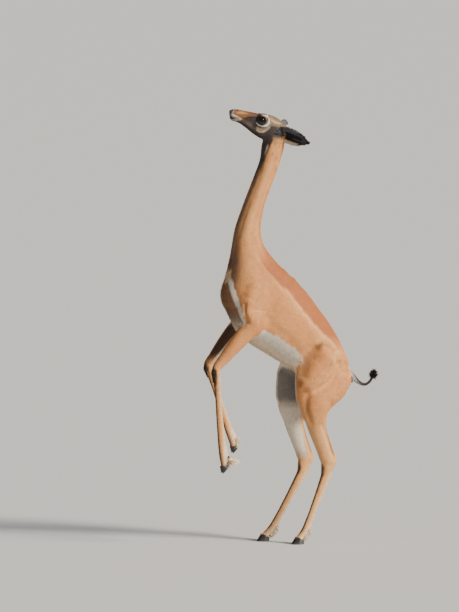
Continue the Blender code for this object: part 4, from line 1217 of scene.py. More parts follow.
def ear_colours(colour, points, region, parts):
    """The back and the hollow of each ear, by shares along and across it."""
    for number, name in ((7, "ear_left"), (8, "ear_right")):
        own = np.flatnonzero(region == number)
        leaf = parts[name][1]
        far, across, rise, _ = leaf_place(points[own], leaf)
        upper = across * np.sign(leaf["wide"][2])
        wave = patchy(points[own], 0.006) * 0.06
        back = tint(tint(np.tile((0.24, 0.185, 0.135), (len(own), 1)), (0.085, 0.083, 0.092), 0.95
                         * ramp(upper + wave, -0.3, 0.4)),
                    (0.6, 0.48, 0.32), 0.9 * fade(upper + wave, -0.8, -0.35))
        back = tint(back, BLACK, ramp(far + 0.6 * wave, 0.8, 0.92))
        # The hollow: black, partly black hair and partly painted shade in the cup, grey hair along its upper
        # edge, cream along its lower one, grey towards the tip.
        hollow = np.tile((0.006, 0.005, 0.006), (len(own), 1))
        streaks = ramp(np.cos(across * 8.0 + 2.0 * far + 0.9), 0.55, 0.95)
        streaks = streaks * ramp(far, 0.4, 0.52) * fade(far, 0.84, 0.92)
        hollow = tint(hollow, (0.105, 0.078, 0.082), 0.75 * streaks * fade(np.abs(across), 0.55, 0.8))
        hollow = tint(hollow, (0.085, 0.066, 0.07), 0.85 * ramp(far, 0.7, 0.78) * fade(far, 0.88, 0.93)
                      * fade(np.abs(across + 0.1), 0.4, 0.7))
        hollow = tint(hollow, (0.125, 0.125, 0.145), 0.92 * ramp(upper + wave, 0.28, 0.48)
                      * fade(far, 0.55, 0.68))
        hollow = tint(hollow, (0.4, 0.33, 0.22), 0.8 * ramp(upper + wave, 0.78, 0.92) * ramp(far, 0.36, 0.46)
                      * fade(far, 0.55, 0.65))
        hollow = tint(hollow, (0.72, 0.56, 0.36), 0.95 * fade(upper + wave, -0.76, -0.56)
                      * fade(far, 0.6, 0.72))
        front = ramp(rise, -0.0002, 0.0006) * fade(np.abs(across), 0.95, 1.03)
        mixed = back * (1 - front[:, None]) + hollow * front[:, None]
        mixed = tint(mixed, BLACK, 0.95 * ramp(np.abs(across), 0.8, 0.92) * front * ramp(far, 0.66, 0.76))
        mixed = tint(mixed, BLACK, 0.95 * ramp(far, 0.9, 0.95))
        blend = ramp(far, -0.25, -0.05)
        colour[own] = colour[own] * (1 - blend[:, None]) + mixed * blend[:, None]
    return colour


def tail_colours(colour, points, region, parts):
    """Grey, then black towards the tuft, sooner on top."""
    own = np.flatnonzero(region == 5)
    tube = parts["tail"][1]
    place, (u, _, _), blend = tube_place(points[own], tube)
    share = place / len(tube["centre"])
    top = u / blend["girth"][:, 0]
    part = tint(colour[own], (0.42, 0.38, 0.35), ramp(share, 0.22, 0.3))
    part = tint(part, (0.022, 0.016, 0.014), ramp(share - 0.22 * top, 0.34, 0.5))
    colour[own] = part
    return colour


def markings(points, normals, region, parts):
    """Linear colour of the coat at each point."""
    colour = body_colours(points, normals, region, parts)
    colour = leg_colours(colour, points, normals, region, parts)
    colour = head_colours(colour, points, region)
    colour = tail_colours(colour, points, region, parts)
    return np.clip(ear_colours(colour, points, region, parts), 0.004, 0.85)


# Coat: thin tufts, each a closed spindle from a buried root to a free tip.

TUFT_PATCH = 0.0016  # half the size of a tuft's patch on the unwrap


def tuft_surface(root, way, rise, side, length, width, lift, curl, rings):
    """Tufts as one surface. A tuft runs from its root along its way, at share t at root + way·length·t
    + rise·(lift·t^0.7 − 0.7 mm·(1 − t)³) + side·curl·t², with a low three-sided section whose width swells as
    sin(pi·t^0.62). Returns points, faces, shading normals and each point's share along and across."""
    t = np.linspace(0, 1, rings + 2)[1:-1]
    count = len(root)

    def spine_at(share):
        arch = lift * share ** 0.7 - 0.0007 * (1 - share) ** 3
        bend = curl * share ** 2
        return root + way * (length * share)[:, None] + rise * arch[:, None] + side * bend[:, None]

    blocks = [root - rise * 0.001]
    shading = [rise]
    shares = [np.tile((0.0, -1.0), (count, 1))]
    for share, broad in zip(t, np.sin(pi * t ** 0.62)):
        middle = spine_at(np.full(count, share))
        for across, up in ((-1.0, -0.18), (1.0, -0.18), (0.0, 0.42)):
            blocks.append(middle + side * (0.5 * across * broad * width)[:, None]
                          + rise * (0.5 * up * broad * width)[:, None])
            shading.append(unit(rise + 0.45 * across * side))
            shares.append(np.tile((0.8 * across * broad, 2 * share - 1 + 0.12 * (up > 0)), (count, 1)))
    blocks.append(spine_at(np.ones(count)))
    shading.append(rise)
    shares.append(np.tile((0.0, 1.0), (count, 1)))
    per = len(blocks)
    points = np.stack(blocks, 1).reshape(-1, 3)
    left, right, ridge, last = 1, 2, 3, per - 1
    faces = [(0, ridge, left), (0, right, ridge), (0, left, right)]
    for k in range(rings - 1):
        a, b = 1 + 3 * k, 4 + 3 * k
        for p, q in ((0, 2), (2, 1), (1, 0)):
            faces += [(a + p, a + q, b + q), (a + p, b + q, b + p)]
    top = last - 3
    faces += [(top, top + 2, last), (top + 2, top + 1, last), (top + 1, top, last)]
    faces = (np.array(faces)[None] + (np.arange(count) * per)[:, None, None]).reshape(-1, 3)
    return points, faces, np.stack(shading, 1).reshape(-1, 3), np.stack(shares, 1).reshape(-1, 2), per


def planted(faces, area, weight, count, rng):
    """Roots spread evenly by weighted area: a face number and corner weights for each."""
    total = np.cumsum(area * weight)
    at = (np.arange(count) + rng.random(count)) * total[-1] / count
    pick = np.minimum(np.searchsorted(total, at), len(faces) - 1)
    a, b = np.sqrt(rng.random(count)), rng.random(count)
    return pick, np.stack([1 - a, a * (1 - b), a * b], 1)


def coat_piece(name, tufts, rings):
    """A coat mesh from rows of tufts, with colour, shading normals and its patches on the unwrap."""
    points, faces, shading, shares, per = tuft_surface(
        tufts["root"], tufts["way"], tufts["rise"], unit(np.cross(tufts["rise"], tufts["way"])),
        tufts["length"],
        tufts["width"], tufts["lift"], tufts["curl"], rings)
    a, b, c = points[faces[:, 0]], points[faces[:, 1]], points[faces[:, 2]]
    middle = points.reshape(-1, per, 3).mean(1).repeat(len(faces) // len(tufts["root"]), 0)
    if (np.cross(b - a, c - a) * ((a + b + c) / 3 - middle)).sum(1).sum() < 0:
        faces = faces[:, ::-1]
    item = mesh_object(name, points, faces)
    depth = 0.86 + 0.2 * (shares[:, 1] * 0.5 + 0.5)
    paint_points(item, "coat", tufts["colour"].repeat(per, 0) * (tufts["shade"].repeat(per) * depth)[:, None])
    put_uv(item, "OFBake", (tufts["uv"].repeat(per, 0) + shares * TUFT_PATCH)[faces])
    if rings == 1:
        item.data.normals_split_custom_set_from_vertices(shading)
    return item


def hair_sizes(points, region):
    """Length, width and lift of the hair, and how many tufts to a square metre, at each point."""
    z = points[:, 2]
    head = in_head(points)
    f = head[:, 0]
    length = np.interp(z, [0.05, 0.25, 0.45, 0.62, 0.8, 1.2, 1.4, 1.65],
                       [0.005, 0.006, 0.008, 0.0105, 0.012, 0.011, 0.0095, 0.008])
    fore = (region == 1) | (region == 2)
    length = np.where(fore, np.interp(z, [0.33, 0.65, 0.8, 0.95], [0.005, 0.006, 0.008, 0.011]), length)
    on_skull = region == 6
    face = np.interp(f, [-0.03, 0.03, 0.1, 0.17, 0.21], [0.0065, 0.005, 0.0036, 0.0028, 0.002])
    length = np.where(on_skull, face, length)
    ear = region >= 7
    length = np.where(ear, 0.0048, length)
    length = np.where(region == 5, 0.012, length)
    density = np.interp(length, [0.002, 0.0036, 0.005, 0.008, 0.012], [900e3, 620e3, 360e3, 190e3, 120e3])
    density = np.where(ear, 300e3, density)
    density = np.where(region == 5, 500e3, density)
    inside = np.where(on_skull, eye_opening(points), -1.0)
    bare = on_skull & ((inside > -0.0026) | ((f > 0.204) & (head[:, 2] > 0.003)))
    density = np.where(bare, 0.0, density)
    width = np.interp(length, [0.002, 0.005, 0.012], [0.0007, 0.0011, 0.0019])
    lift = np.interp(length, [0.002, 0.005, 0.012], [0.0003, 0.0006, 0.0011])
    return length, width, lift, density


# Materials.

def new_material(name, **values):
    """A material with its plain values set on the shader's own sockets."""
    material = bpy.data.materials.new(name)
    material.use_nodes = True
    shader = material.node_tree.nodes["Principled BSDF"]
    for key, value in values.items():
        shader.inputs[key.replace("_", " ")].default_value = value
    return material, shader


def feed(tree, node, inputs):
    """Each input named set to its plain value, or linked to the output given for it."""
    for key, value in inputs.items():
        if isinstance(value, bpy.types.NodeSocket):
            tree.links.new(value, node.inputs[key])
        else:
            node.inputs[key].default_value = value


def add(tree, kind, inputs, output=0, **settings):
    """The output of a new node with its inputs fed and its settings made."""
    node = tree.nodes.new("ShaderNode" + kind)
    for key, value in settings.items():
        setattr(node, key, value)
    feed(tree, node, inputs)
    return node.outputs[output]


def worked_out(tree, operation, *values):
    """A sum or product of numbers in a material."""
    return add(tree, "Math", dict(enumerate(values)), operation=operation)


def hair_group():
    """Short hair: fine uneven streaks and soft patches that shade the coat's colour, and their height."""
    tree = bpy.data.node_groups.new("short_hair", "ShaderNodeTree")
    for label, kind, value in (("Colour", "Color", (0.5, 0.3, 0.15, 1)), ("Place", "Vector", (0, 0, 0)),
                               ("Fine", "Float", 1.0), ("Contrast", "Float", 0.25)):
        socket = tree.interface.new_socket(name=label, in_out="INPUT", socket_type="NodeSocket" + kind)
        socket.default_value = value
    for label, kind in (("Colour", "Color"), ("Height", "Float"), ("Roughness", "Float")):
        tree.interface.new_socket(name=label, in_out="OUTPUT", socket_type="NodeSocket" + kind)
    inlet = tree.nodes.new("NodeGroupInput").outputs
    streak = add(tree, "TexNoise", {"Vector": inlet["Place"], "Scale": inlet["Fine"], "Detail": 3.0,
                                    "Roughness": 0.6}, "Fac")
    place = add(tree, "TexCoord", {}, "Object")
    patch = add(tree, "TexNoise", {"Vector": place, "Scale": 38.0, "Detail": 4.0}, "Fac")
    both = worked_out(tree, "MULTIPLY_ADD", patch, 0.42, worked_out(tree, "MULTIPLY", streak, 0.45))
    strength = worked_out(tree, "MULTIPLY", inlet["Contrast"], 3.2)
    light = worked_out(tree, "MULTIPLY_ADD", worked_out(tree, "SUBTRACT", both, 0.5), strength, 1.0)
    shade = add(tree, "VectorMath", {0: inlet["Colour"], "Scale": light}, operation="SCALE")
    rough = add(tree, "MapRange", {"Value": streak, "To Min": 0.52, "To Max": 0.8})
    feed(tree, tree.nodes.new("NodeGroupOutput"), {"Colour": shade, "Height": streak, "Roughness": rough})
    return tree


def coat_material(name, hair, uv_map=None):
    """The coat: its painted colour with hair streaks that run along the lie, and a little sheen."""
    material, shader = new_material(name, Sheen_Weight=0.08, Sheen_Roughness=0.45,
                                    Sheen_Tint=(1.0, 0.9, 0.78, 1.0), Specular_IOR_Level=0.28)
    tree = material.node_tree
    if uv_map:
        place = add(tree, "Mapping", {"Vector": add(tree, "UVMap", {}, "UV", uv_map=uv_map),
                                      "Scale": (900.0, 110.0, 1.0)})
        fine, contrast = 1.0, 0.22
    else:
        place, fine, contrast = add(tree, "TexCoord", {}, "Object"), 420.0, 0.16
    look = tree.nodes.new("ShaderNodeGroup")
    look.node_tree = hair
    feed(tree, look, {"Colour": add(tree, "Attribute", {}, "Color", attribute_name="coat"), "Place": place,
                      "Fine": fine, "Contrast": contrast})
    feed(tree, shader, {"Base Color": look.outputs["Colour"], "Roughness": look.outputs["Roughness"]})
    if uv_map:
        bump = {"Strength": 0.35, "Distance": 0.0006, "Height": look.outputs["Height"]}
        feed(tree, shader, {"Normal": add(tree, "Bump", bump)})
    return material


def horn_material():
    """Black horn: growth rings across the wall, fine grain down it, dust towards the ground."""
    material, shader = new_material("hoof_horn", Specular_IOR_Level=0.5, Coat_Weight=0.15,
                                    Coat_Roughness=0.35)
    tree = material.node_tree
    place = add(tree, "UVMap", {}, "UV", uv_map="Horn")
    rings = add(tree, "TexWave", {"Vector": place, "Scale": 2.6, "Distortion": 2.2, "Detail": 2.0}, "Fac",
                wave_type="BANDS", bands_direction="Y")
    stretch = add(tree, "Mapping", {"Vector": place, "Scale": (60.0, 4.0, 1.0)})
    grain = add(tree, "TexNoise", {"Vector": stretch, "Scale": 1.0, "Detail": 4.0}, "Fac")
    black = add(tree, "MixRGB", {"Fac": grain, "Color1": (0.01, 0.009, 0.008, 1),
                                 "Color2": (0.045, 0.037, 0.03, 1)})
    up = add(tree, "SeparateXYZ", {0: place}, "Y")
    dust = add(tree, "MapRange", {"Value": up, "From Min": 0.35, "From Max": 0.0, "To Max": 0.45})
    dusty = add(tree, "MixRGB", {"Fac": dust, "Color1": black, "Color2": (0.16, 0.125, 0.095, 1)})
    rough = add(tree, "MapRange", {"Value": grain, "To Min": 0.3, "To Max": 0.55})
    bump = add(tree, "Bump", {"Strength": 0.5, "Distance": 0.0006, "Height": rings})
    feed(tree, shader, {"Base Color": dusty, "Roughness": rough, "Normal": bump})
    return material


def eye_material():
    """A wet dark eye: painted pupil, iris and rim, with fine spokes in the iris."""
    material, shader = new_material("eye_wet", Roughness=0.12, Coat_Weight=0.1, Coat_Roughness=0.03,
                                    Specular_IOR_Level=0.15)
    tree = material.node_tree
    spokes = add(tree, "TexNoise", {"Vector": add(tree, "TexCoord", {}, "Object"), "Scale": 900.0}, "Fac")
    strength = add(tree, "MapRange", {"Value": spokes, "To Min": 0.6, "To Max": 1.4})
    colour = add(tree, "Attribute", {}, "Color", attribute_name="eye")
    shade = add(tree, "VectorMath", {0: colour, "Scale": strength}, operation="SCALE")
    feed(tree, shader, {"Base Color": shade})
    return material


# Pieces.

def make_toe(name, foot, which, rows=14, columns=48):
    """One toe: a D-shaped sole carried up the slope of the front wall to the coronet. The wall bulges a
    little as the sine of the way up, narrows to the tip, and swells again in the last tenth."""
    centre, forward, up, size = foot_frame(foot)
    plane, normal = coronet(foot)
    level = np.concatenate([[0.0, 0.0, 0.02, 0.06], np.linspace(0.14, 0.9, rows - 6),
                            [0.97, 1.03, 1.06]])[:, None]
    turn = np.linspace(0, 2 * pi, columns, endpoint=False)[None]
    draw = np.concatenate([[0.8, 0.93, 0.985, 1.0], np.ones(rows - 6), [1.0, 0.99, 0.93]])[:, None]
    ahead = np.cos(turn) * TOE_LENGTH / 2 * draw
    narrow = 1.0 - 0.5 * np.maximum(0.0, np.cos(turn)) ** 1.6
    aside = np.sin(turn) * TOE_HALF_WIDTH * narrow * np.where(np.sin(turn) < 0, 0.72, 1.0) * draw
    base = centre + forward * (ahead * size)[..., None]
    lean = np.clip(ahead / TOE_LENGTH + 0.5, 0.0, 1.0) / np.tan(TOE_WALL_SLOPE)
    rise = up - forward * lean[..., None]
    height = ((plane - base) @ normal) / (rise @ normal)
    climb = np.where(level < 0.02, 0.0, level) * (height / np.maximum(height, 1e-6))
    point = base + rise * (height * climb)[..., None]
    bulge = 1 - 0.1 * level + 0.03 * np.sin(pi * np.clip(level, 0, 1))
    point[..., 1] += which * (TOE_SPREAD + aside * bulge) * size
    item_points, item_faces = closed_grid(point)
    item = mesh_object(name, item_points, item_faces)
    share = np.vstack([np.stack([np.broadcast_to(turn / (2 * pi), point.shape[:2]),
                                 np.broadcast_to(level, point.shape[:2])], -1).reshape(-1, 2),
                       [[0.5, 0.0], [0.5, 1.1]]])
    uv = share[item_faces]
    wrap = uv[..., 0].max(1) - uv[..., 0].min(1) > 0.5
    uv[wrap, :, 0] = np.where(uv[wrap, :, 0] < 0.5, uv[wrap, :, 0] + 1, uv[wrap, :, 0])
    put_uv(item, "Horn", uv)
    return item


def make_dewclaw(name, tube, fetlock, which):
    """A small horny claw behind the fetlock: a globe drawn out along the leg."""
    at = np.linalg.norm(tube["centre"] - fetlock, axis=1).argmin() + 1
    place = (tube["centre"][at] - tube["front"][at] * (tube["girth"][at, 1] + 0.001)
             + tube["side"][at] * which * 0.0085)
    ball = make_ball(place + tube["front"][at] * 0.0015, np.array(DEWCLAW[::-1]) * 0.85, tube["along"][at]
                     - 0.5 * tube["front"][at])
    item_points, item_faces = ball_surface(ball, 14, 20)
    item = mesh_object(name, item_points, item_faces)
    local = (item_points - ball["centre"]) @ ball["frame"].T / ball["half"]
    share = np.stack([np.arctan2(local[:, 1], local[:, 2]) / (2 * pi) + 0.5, 0.5 - 0.5 * local[:, 0]], 1)
    put_uv(item, "Horn", share[item_faces])
    return item


def make_eye(name, which):
    """The eyeball: a globe with a shallow bell for the cornea, painted with a level oval pupil."""
    aim = np.array([EYE_AIM[0], which * EYE_AIM[1], EYE_AIM[2]]) @ HEAD
    ball = make_ball(on_head((EYE_AT[0], which * EYE_AT[1], EYE_AT[2])), [EYE_RADIUS] * 3, ahead=aim)
    item_points, item_faces = ball_surface(ball, 48, 64, bulge=lambda way: 0.045
                                           * np.exp(-((1 - way[..., 0]) / 0.13) ** 2))
    item = mesh_object(name, item_points, item_faces)
    local = (item_points - ball["centre"]) / EYE_RADIUS
    level = local @ (HEAD[0] - unit(aim) * (HEAD[0] @ unit(aim)))
    upright = local @ HEAD[2]
    off = np.hypot(level, upright)
    colour = np.tile((0.006, 0.005, 0.004), (len(local), 1))
    colour = tint(colour, (0.009, 0.006, 0.004), fade(off, 0.62, 0.72) * (local @ unit(aim) > 0))
    colour = tint(colour, (0.004, 0.004, 0.005), 1 - ramp(np.hypot(level / 0.4, upright / 0.24), 0.85, 1.1))
    paint_points(item, "eye", colour)
    return item


def thin_skin(points, faces, triangles):
    """The skin with fewer triangles, kept densest where it bends most."""
    item = mesh_object("dense", points, faces)
    thin = item.modifiers.new("thin", "DECIMATE")
    thin.ratio = min(1.0, triangles / len(faces))
    return worked(item)


def coat_depth(points):
    """How far the skin lies inside the tips of the hair."""
    head = in_head(points)
    depth = np.interp(points[:, 2], [0.05, 0.45, 0.75, 1.5, 1.7], [0.001, 0.0012, 0.002, 0.0018, 0.0009])
    depth = np.where((points[:, 0] < -0.2) & (points[:, 2] < 0.8), 0.001, depth)
    return np.where(points[:, 2] > HEAD_FROM,
                    np.interp(head[:, 0], [-0.02, 0.05, 0.2], [0.0009, 0.0006, 0.0002]), depth)


form = make_parts()
outer, faces = make_skin(form)
normals = corner_normals(outer, faces)
skin_points = outer + normals * (relief(outer) - coat_depth(outer))[:, None]
skin_points, faces = thin_skin(skin_points, faces, SKIN_TRIANGLES)
skin_points, faces = outward(skin_points, faces)
normals = corner_normals(skin_points, faces)
region, table = regions_of(skin_points + normals * coat_depth(skin_points)[:, None], form)
along, turn, girth = chart(skin_points, region, form)
colours = markings(skin_points, normals, region, form)
lie = hair_lie(skin_points, normals, faces, region, table, form)

skin = mesh_object("skin", skin_points, faces)
paint_points(skin, "coat", colours)
bake_uv, angle, reach = unwrapped(along, turn, region, faces)
put_uv(skin, "OFBake", bake_uv)
put_uv(skin, "Lie", np.stack([angle * girth[faces].mean(1)[:, None], reach], -1))
hair = hair_group()
skin.data.materials.append(coat_material("coat_skin", hair, "Lie"))
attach(skin, "root")
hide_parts("head", "neck", "trunk", "tail", "foreleg_left", "foreleg_right", "hindleg_left",
            "hindleg_right",
            "ear_left", "ear_right")

# The coat, piece by piece: the regions of a piece, and the share of each region's length that it covers.
WHOLE = (0.0, 1.01)
COAT_PIECES = {
    "coat_rump": (("spine",), 0.0, 0.22), "coat_loin": (("spine",), 0.22, 0.36),
    "coat_shoulder": (("spine",), 0.36, 0.56), "coat_neck": (("spine",), 0.56, 1.01),
    "coat_head": (("head",), *WHOLE), "coat_ears": (("ear_left", "ear_right"), *WHOLE),
    "coat_foreleg_left": (("fore_left",), *WHOLE), "coat_foreleg_right": (("fore_right",), *WHOLE),
    "coat_thigh_left": (("hind_left",), 0.0, 0.45), "coat_shank_left": (("hind_left",), 0.45, 1.01),
    "coat_thigh_right": (("hind_right",), 0.0, 0.45), "coat_shank_right": (("hind_right",), 0.45, 1.01),
    "coat_tail": (("tail",), *WHOLE),
}
COAT_SEED = 100
LONG_HAIR_SEED = 7
coat_look = coat_material("coat_hair", hair)
length, width, lift, density = hair_sizes(skin_points, region)
a, b, c = skin_points[faces[:, 0]], skin_points[faces[:, 1]], skin_points[faces[:, 2]]
area = np.linalg.norm(np.cross(b - a, c - a), axis=1) / 2
owner = region[faces[:, 0]]
centre = (a + b + c) / 3
facing = unit(normals[faces].mean(1))


def at_roots(corners, corner):
    """Values at the corners of the roots' faces, mixed at the roots."""
    return (corners * (corner[..., None] if corners.ndim > 2 else corner)).sum(1)


def rooted(pick, corner, ways, outwards, spread, rng):
    """Roots on the skin, with the way each tuft grows and the way its back faces, at right angles."""
    rise = unit(at_roots(normals[faces[pick]], corner))
    way = ways + rng.normal(0, spread, (len(pick), 3))
    way = unit(unit(way - rise * (way * rise).sum(1, keepdims=True)) + rise * outwards)
    return at_roots(skin_points[faces[pick]], corner), way, unit(rise - way
                                                                 * (rise * way).sum(1, keepdims=True))


def uneven(rng, count, share):
    """Factors round 1 that differ from hair to hair by about a share."""
    return 1 + share * rng.normal(0, 1, count).clip(-2, 2)


def add_coat(name, groups, rings):
    """One piece of the coat from its groups of tufts."""
    piece = coat_piece(name, {key: np.concatenate([g[key] for g in groups]) for key in groups[0]}, rings)
    piece.data.materials.append(coat_look)
    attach(piece, "root")


for number, (name, (names, low, high)) in enumerate(COAT_PIECES.items()):
    rng = np.random.default_rng(COAT_SEED + number)
    groups = []
    for k, region_name in enumerate(names):
        own = owner == REGIONS.index(region_name)
        start, end = along[faces[own]].min(), along[faces[own]].max()
        share = (along[faces].mean(1) - start) / (end - start)
        weight = density[faces].mean(1) * own * (share >= low) * (share < high)
        count = int((weight * area).sum() * COAT_SHARE)
        pick, corner = planted(faces, area, weight, count, rng)
        size = at_roots(length[faces[pick]], corner)
        root, way, rise = rooted(pick, corner, at_roots(lie[faces[pick]], corner), 0.0, 0.1, rng)
        at_turn = at_roots(angle[pick], corner) / (2 * pi)
        at_along = ((at_roots(reach[pick], corner) - start) / (end - start) - low) / (min(high, 1.0) - low)
        spot = np.stack([(k + 0.02 + 0.96 * np.clip(at_turn + 0.5, 0, 1)) / len(names),
                         0.01 + 0.98 * np.clip(at_along, 0, 1)], 1)
        groups.append({
            "root": root, "way": way, "rise": rise, "length": size * uneven(rng, count, 0.22),
            "width": at_roots(width[faces[pick]], corner) * uneven(rng, count, 0.15),
            "lift": at_roots(lift[faces[pick]], corner) * uneven(rng, count, 0.35),
            "curl": size * rng.normal(0, 0.07, count), "colour": at_roots(colours[faces[pick]], corner),
            "shade": uneven(rng, count, 0.15), "uv": spot})
    add_coat(name, groups, 1)


# Longer hair.

def about(place, reach):
    """1 near a place, 0 beyond reach of it."""
    return 1 - ramp(np.linalg.norm(centre - place, axis=1), 0.6 * reach, reach)


def towards(place):
    """The way from every face to a place."""
    return unit(place - centre)


def gap(place):
    """Metres from every face to a place."""
    return np.linalg.norm(place - centre, axis=1)


def long_hair():
    """Every kind of longer hair as a row: the faces it grows on, how many tufts, the way it lies, how far it
    stands out, its spread, length and width, and its colour where that isn't the skin's."""
    pale = (0.85, 0.7, 0.47)
    lock = about((-0.318, -0.06, 0.366), 0.024) * ramp(facing[:, 0], 0.1, 0.4)
    end = (-0.272, -0.062, 0.357)
    far_lock = about((-0.226, 0.062, 0.428), 0.034) * ramp(facing @ (0.85, 0.0, -0.5), 0.0, 0.5)
    rows = [(lock, 26, towards(end), 0.0, 0.03, gap(end), 0.008, pale),
            (lock, 500, towards(end), 0.0, 0.07, 0.85 * gap(end), 0.0026, pale),
            (far_lock, 900, (0.55, 0.0, -0.75), 0.5, 0.22, 0.016, 0.0024, pale)]
    for heel in ((0.036, -0.077, 0.046), (-0.056, 0.078, 0.046)):
        rows.append((about(heel, 0.034) * ramp(facing @ (0.95, 0.0, -0.3), 0.0, 0.5), 700, (0.35, 0.0, -0.9),
                     0.35,
                     0.2, 0.017, 0.0022, pale))
    rows.append((about((0.368, 0.0, 0.708), 0.016), 700, (0.1, 0.0, 0.3), 0.9, 0.75, 0.016, 0.0022,
                 (0.008, 0.007, 0.007)))
    belly = (owner == 0) * fade(np.abs(angle[:, 0]), 0.1, 0.28) * (centre[:, 2] < 1.22)
    rows.append((belly, 1200, lie[faces].mean(1), 0.22, 0.14, 0.016, 0.002, None))
    for foot in FEET:
        place, normal = coronet(foot)
        rim = (centre - place) @ normal
        back = ramp((centre - place) @ np.cross((0.0, 1.0, 0.0), normal), -0.012, 0.012)
        weight = about(place, 0.045) * ramp(rim, -0.001, 0.0) * fade(rim, 0.005, 0.008)
        long = 0.007 + (0.019 if foot.startswith("hind") else 0.007) * back
        rows.append((weight, 700, -normal, 0.16, 0.1, long, 0.002, None))
    for side in ("left", "right"):
        knee = metres(JOINTS[f"fore_{side}"][3])
        rows.append((about(knee + (-0.018, 0, -0.026), 0.028) * ramp(-facing[:, 0], 0.3, 0.7), 500,
                     (-0.2, 0.0, -0.97), 0.3, 0.12, 0.014, 0.0018, None))
        leaf = form[f"ear_{side}"][1]
        far, across, rise, _ = leaf_place(centre, leaf)
        upper_side = across * np.sign(leaf["wide"][2])
        own = (owner == REGIONS.index(f"ear_{side}")) * (far > 0.1)
        edge = ramp(np.abs(across), 0.78, 0.92) + ramp(far, 0.93, 0.97)
        out = leaf["axis"] * 0.9 + leaf["wide"] * (np.sign(across)
                                                   * (1 - 0.8 * ramp(far, 0.8, 0.97)))[:, None]
        rows.append((own * edge, 900, out, 0.2, 0.14, 0.0055, 0.0012, None))
        inner = own * (upper_side > 0) * (rise > 0) * ramp(np.abs(across), 0.5, 0.7)
        inner = inner * fade(np.abs(across), 0.8, 0.95) * fade(far, 0.6, 0.8)
        over = leaf["axis"] * 0.8 - leaf["wide"] * np.sign(across)[:, None] * 0.7
        rows.append((inner, 160, over, 0.3, 0.14, 0.015, 0.001, (0.19, 0.188, 0.205)))
    inside = np.where(owner == 6, eye_opening(centre), -1.0)
    lash = ramp(inside, -0.0034, -0.0026) * fade(inside, -0.0018, -0.0012) * (eye_places(centre)[2] > 0.006)
    rows.append((lash, 220, (0.0, 0.0, 0.6), 0.9, 0.15, 0.0065, 0.0007, (0.012, 0.01, 0.01)))
    return rows


rng = np.random.default_rng(LONG_HAIR_SEED)
groups = []
for weight, count, ways, outwards, spread, long, wide, tone in long_hair():
    pick, corner = planted(faces, area, np.asarray(weight, float), count, rng)
    ways = np.asarray(ways, float)
    root, way, rise = rooted(pick, corner, ways[pick] if ways.ndim > 1 else ways, outwards, spread, rng)
    long = (long[pick] if np.ndim(long) else long) * uneven(rng, count, 0.22)
    long = np.minimum(long, (root[:, 2] - 0.002) / np.maximum(-way[:, 2], 0.05))
    groups.append({
        "root": root, "way": way, "rise": rise, "length": long, "width": wide * uneven(rng, count, 0.2),
        "lift": long * 0.05, "curl": long * rng.normal(0, 0.1, count),
        "colour": at_roots(colours[faces[pick]], corner) if tone is None else np.tile(tone, (count, 1)),
        "shade": uneven(rng, count, 0.18), "uv": at_roots(bake_uv[pick], corner)})
add_coat("coat_long", groups, 3)

horn = horn_material()
for foot in FEET:
    inner = 1 if foot.endswith("left") else -1
    for place, which in (("inner", inner), ("outer", -inner)):
        toe = make_toe(f"toe_{foot}_{place}", foot, which)
        claw = make_dewclaw(f"claw_{foot}_{place}", form[foot][1], metres(JOINTS[foot][-2]), which)
        for piece, node in ((toe, f"hoof_{foot}_{place}"), (claw, f"dewclaw_{foot}_{place}")):
            piece.data.materials.append(horn)
            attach(piece, "root")
            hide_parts(node)
wet = eye_material()
for side, which in (("left", 1), ("right", -1)):
    eye = make_eye(f"eyeball_{side}", which)
    eye.data.materials.append(wet)
    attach(eye, "root")
    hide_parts(f"eye_{side}")


# Stage: a plain pale floor, a soft high light and an even sky.

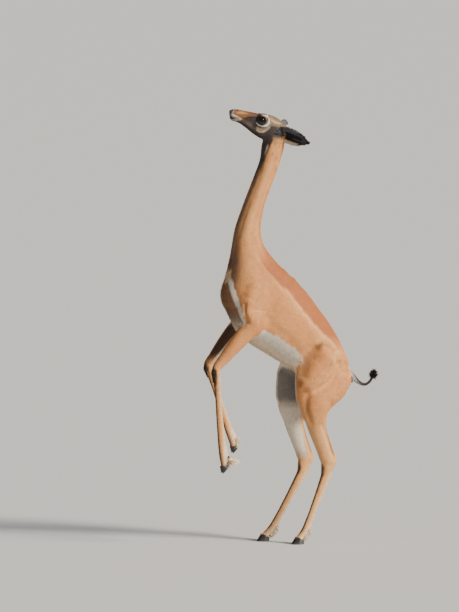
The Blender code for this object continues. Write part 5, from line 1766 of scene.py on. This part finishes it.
def make_floor(reach=600.0, rings=24, spokes=48):
    """A flat disc whose rings lie at the cube of their share of the way out."""
    away = reach * np.linspace(0, 1, rings)[1:, None] ** 3
    way = np.linspace(0, 2 * pi, spokes, endpoint=False)[None]
    ring = np.stack([away * np.cos(way), away * np.sin(way), np.zeros((rings - 1, spokes))], -1)
    disc = np.vstack([ring.reshape(-1, 3), [[0.0, 0.0, 0.0]]])
    inner = np.stack([np.full(spokes, len(disc) - 1), np.arange(spokes), np.roll(np.arange(spokes), -1)], -1)
    return mesh_object("floor", disc, np.vstack([grid_faces(rings - 1, spokes)[:, ::-1], inner]))


floor = make_floor()
pale, _ = new_material("pale_floor", Base_Color=(0.62, 0.6, 0.57, 1), Roughness=0.9, Specular_IOR_Level=0.1)
floor.data.materials.append(pale)

key = bpy.data.lights.new("key", "SUN")
key.energy = 7.2
key.angle = radians(16)
key.color = (1.0, 0.95, 0.88)
lamp = bpy.data.objects.new("key", key)
lamp.rotation_mode = "QUATERNION"
lamp.rotation_quaternion = Vector((-0.62, 0.62, -0.48)).to_track_quat("-Z", "Y")
bpy.context.scene.collection.objects.link(lamp)
world = bpy.data.worlds.new("sky")
world.use_nodes = True
world.node_tree.nodes["Background"].inputs[0].default_value = (0.8, 0.86, 0.95, 1)
world.node_tree.nodes["Background"].inputs[1].default_value = 0.36
bpy.context.scene.world = world

# Camera, in front and to the left, level with the shoulder. One pixel is 4.25 mm at the animal.
azimuth, elevation, away = radians(-20), radians(4), 20.0
pixel = 0.00425
picture_height = 612
middle_column, middle_row = 229.5, 306
origin_column, ground_row = 293, 542  # where x = y = z = 0 shows in the photo
right = np.array([cos(azimuth), sin(azimuth), 0.0])
above = np.array([-sin(azimuth) * sin(elevation), cos(azimuth) * sin(elevation), cos(elevation)])
back = np.array([sin(azimuth) * cos(elevation), -cos(azimuth) * cos(elevation), sin(elevation)])
look_at = right * (middle_column - origin_column) * pixel + above * (ground_row - middle_row) * pixel
lens = bpy.data.cameras.new("camera")
lens.lens = 36 * away / (picture_height * pixel)
lens.clip_end = 2000
camera = bpy.data.objects.new("camera", lens)
camera.location = look_at + back * away
camera.rotation_mode = "QUATERNION"
camera.rotation_quaternion = Vector(-back).to_track_quat("-Z", "Y")
bpy.context.scene.collection.objects.link(camera)
bpy.context.scene.camera = camera
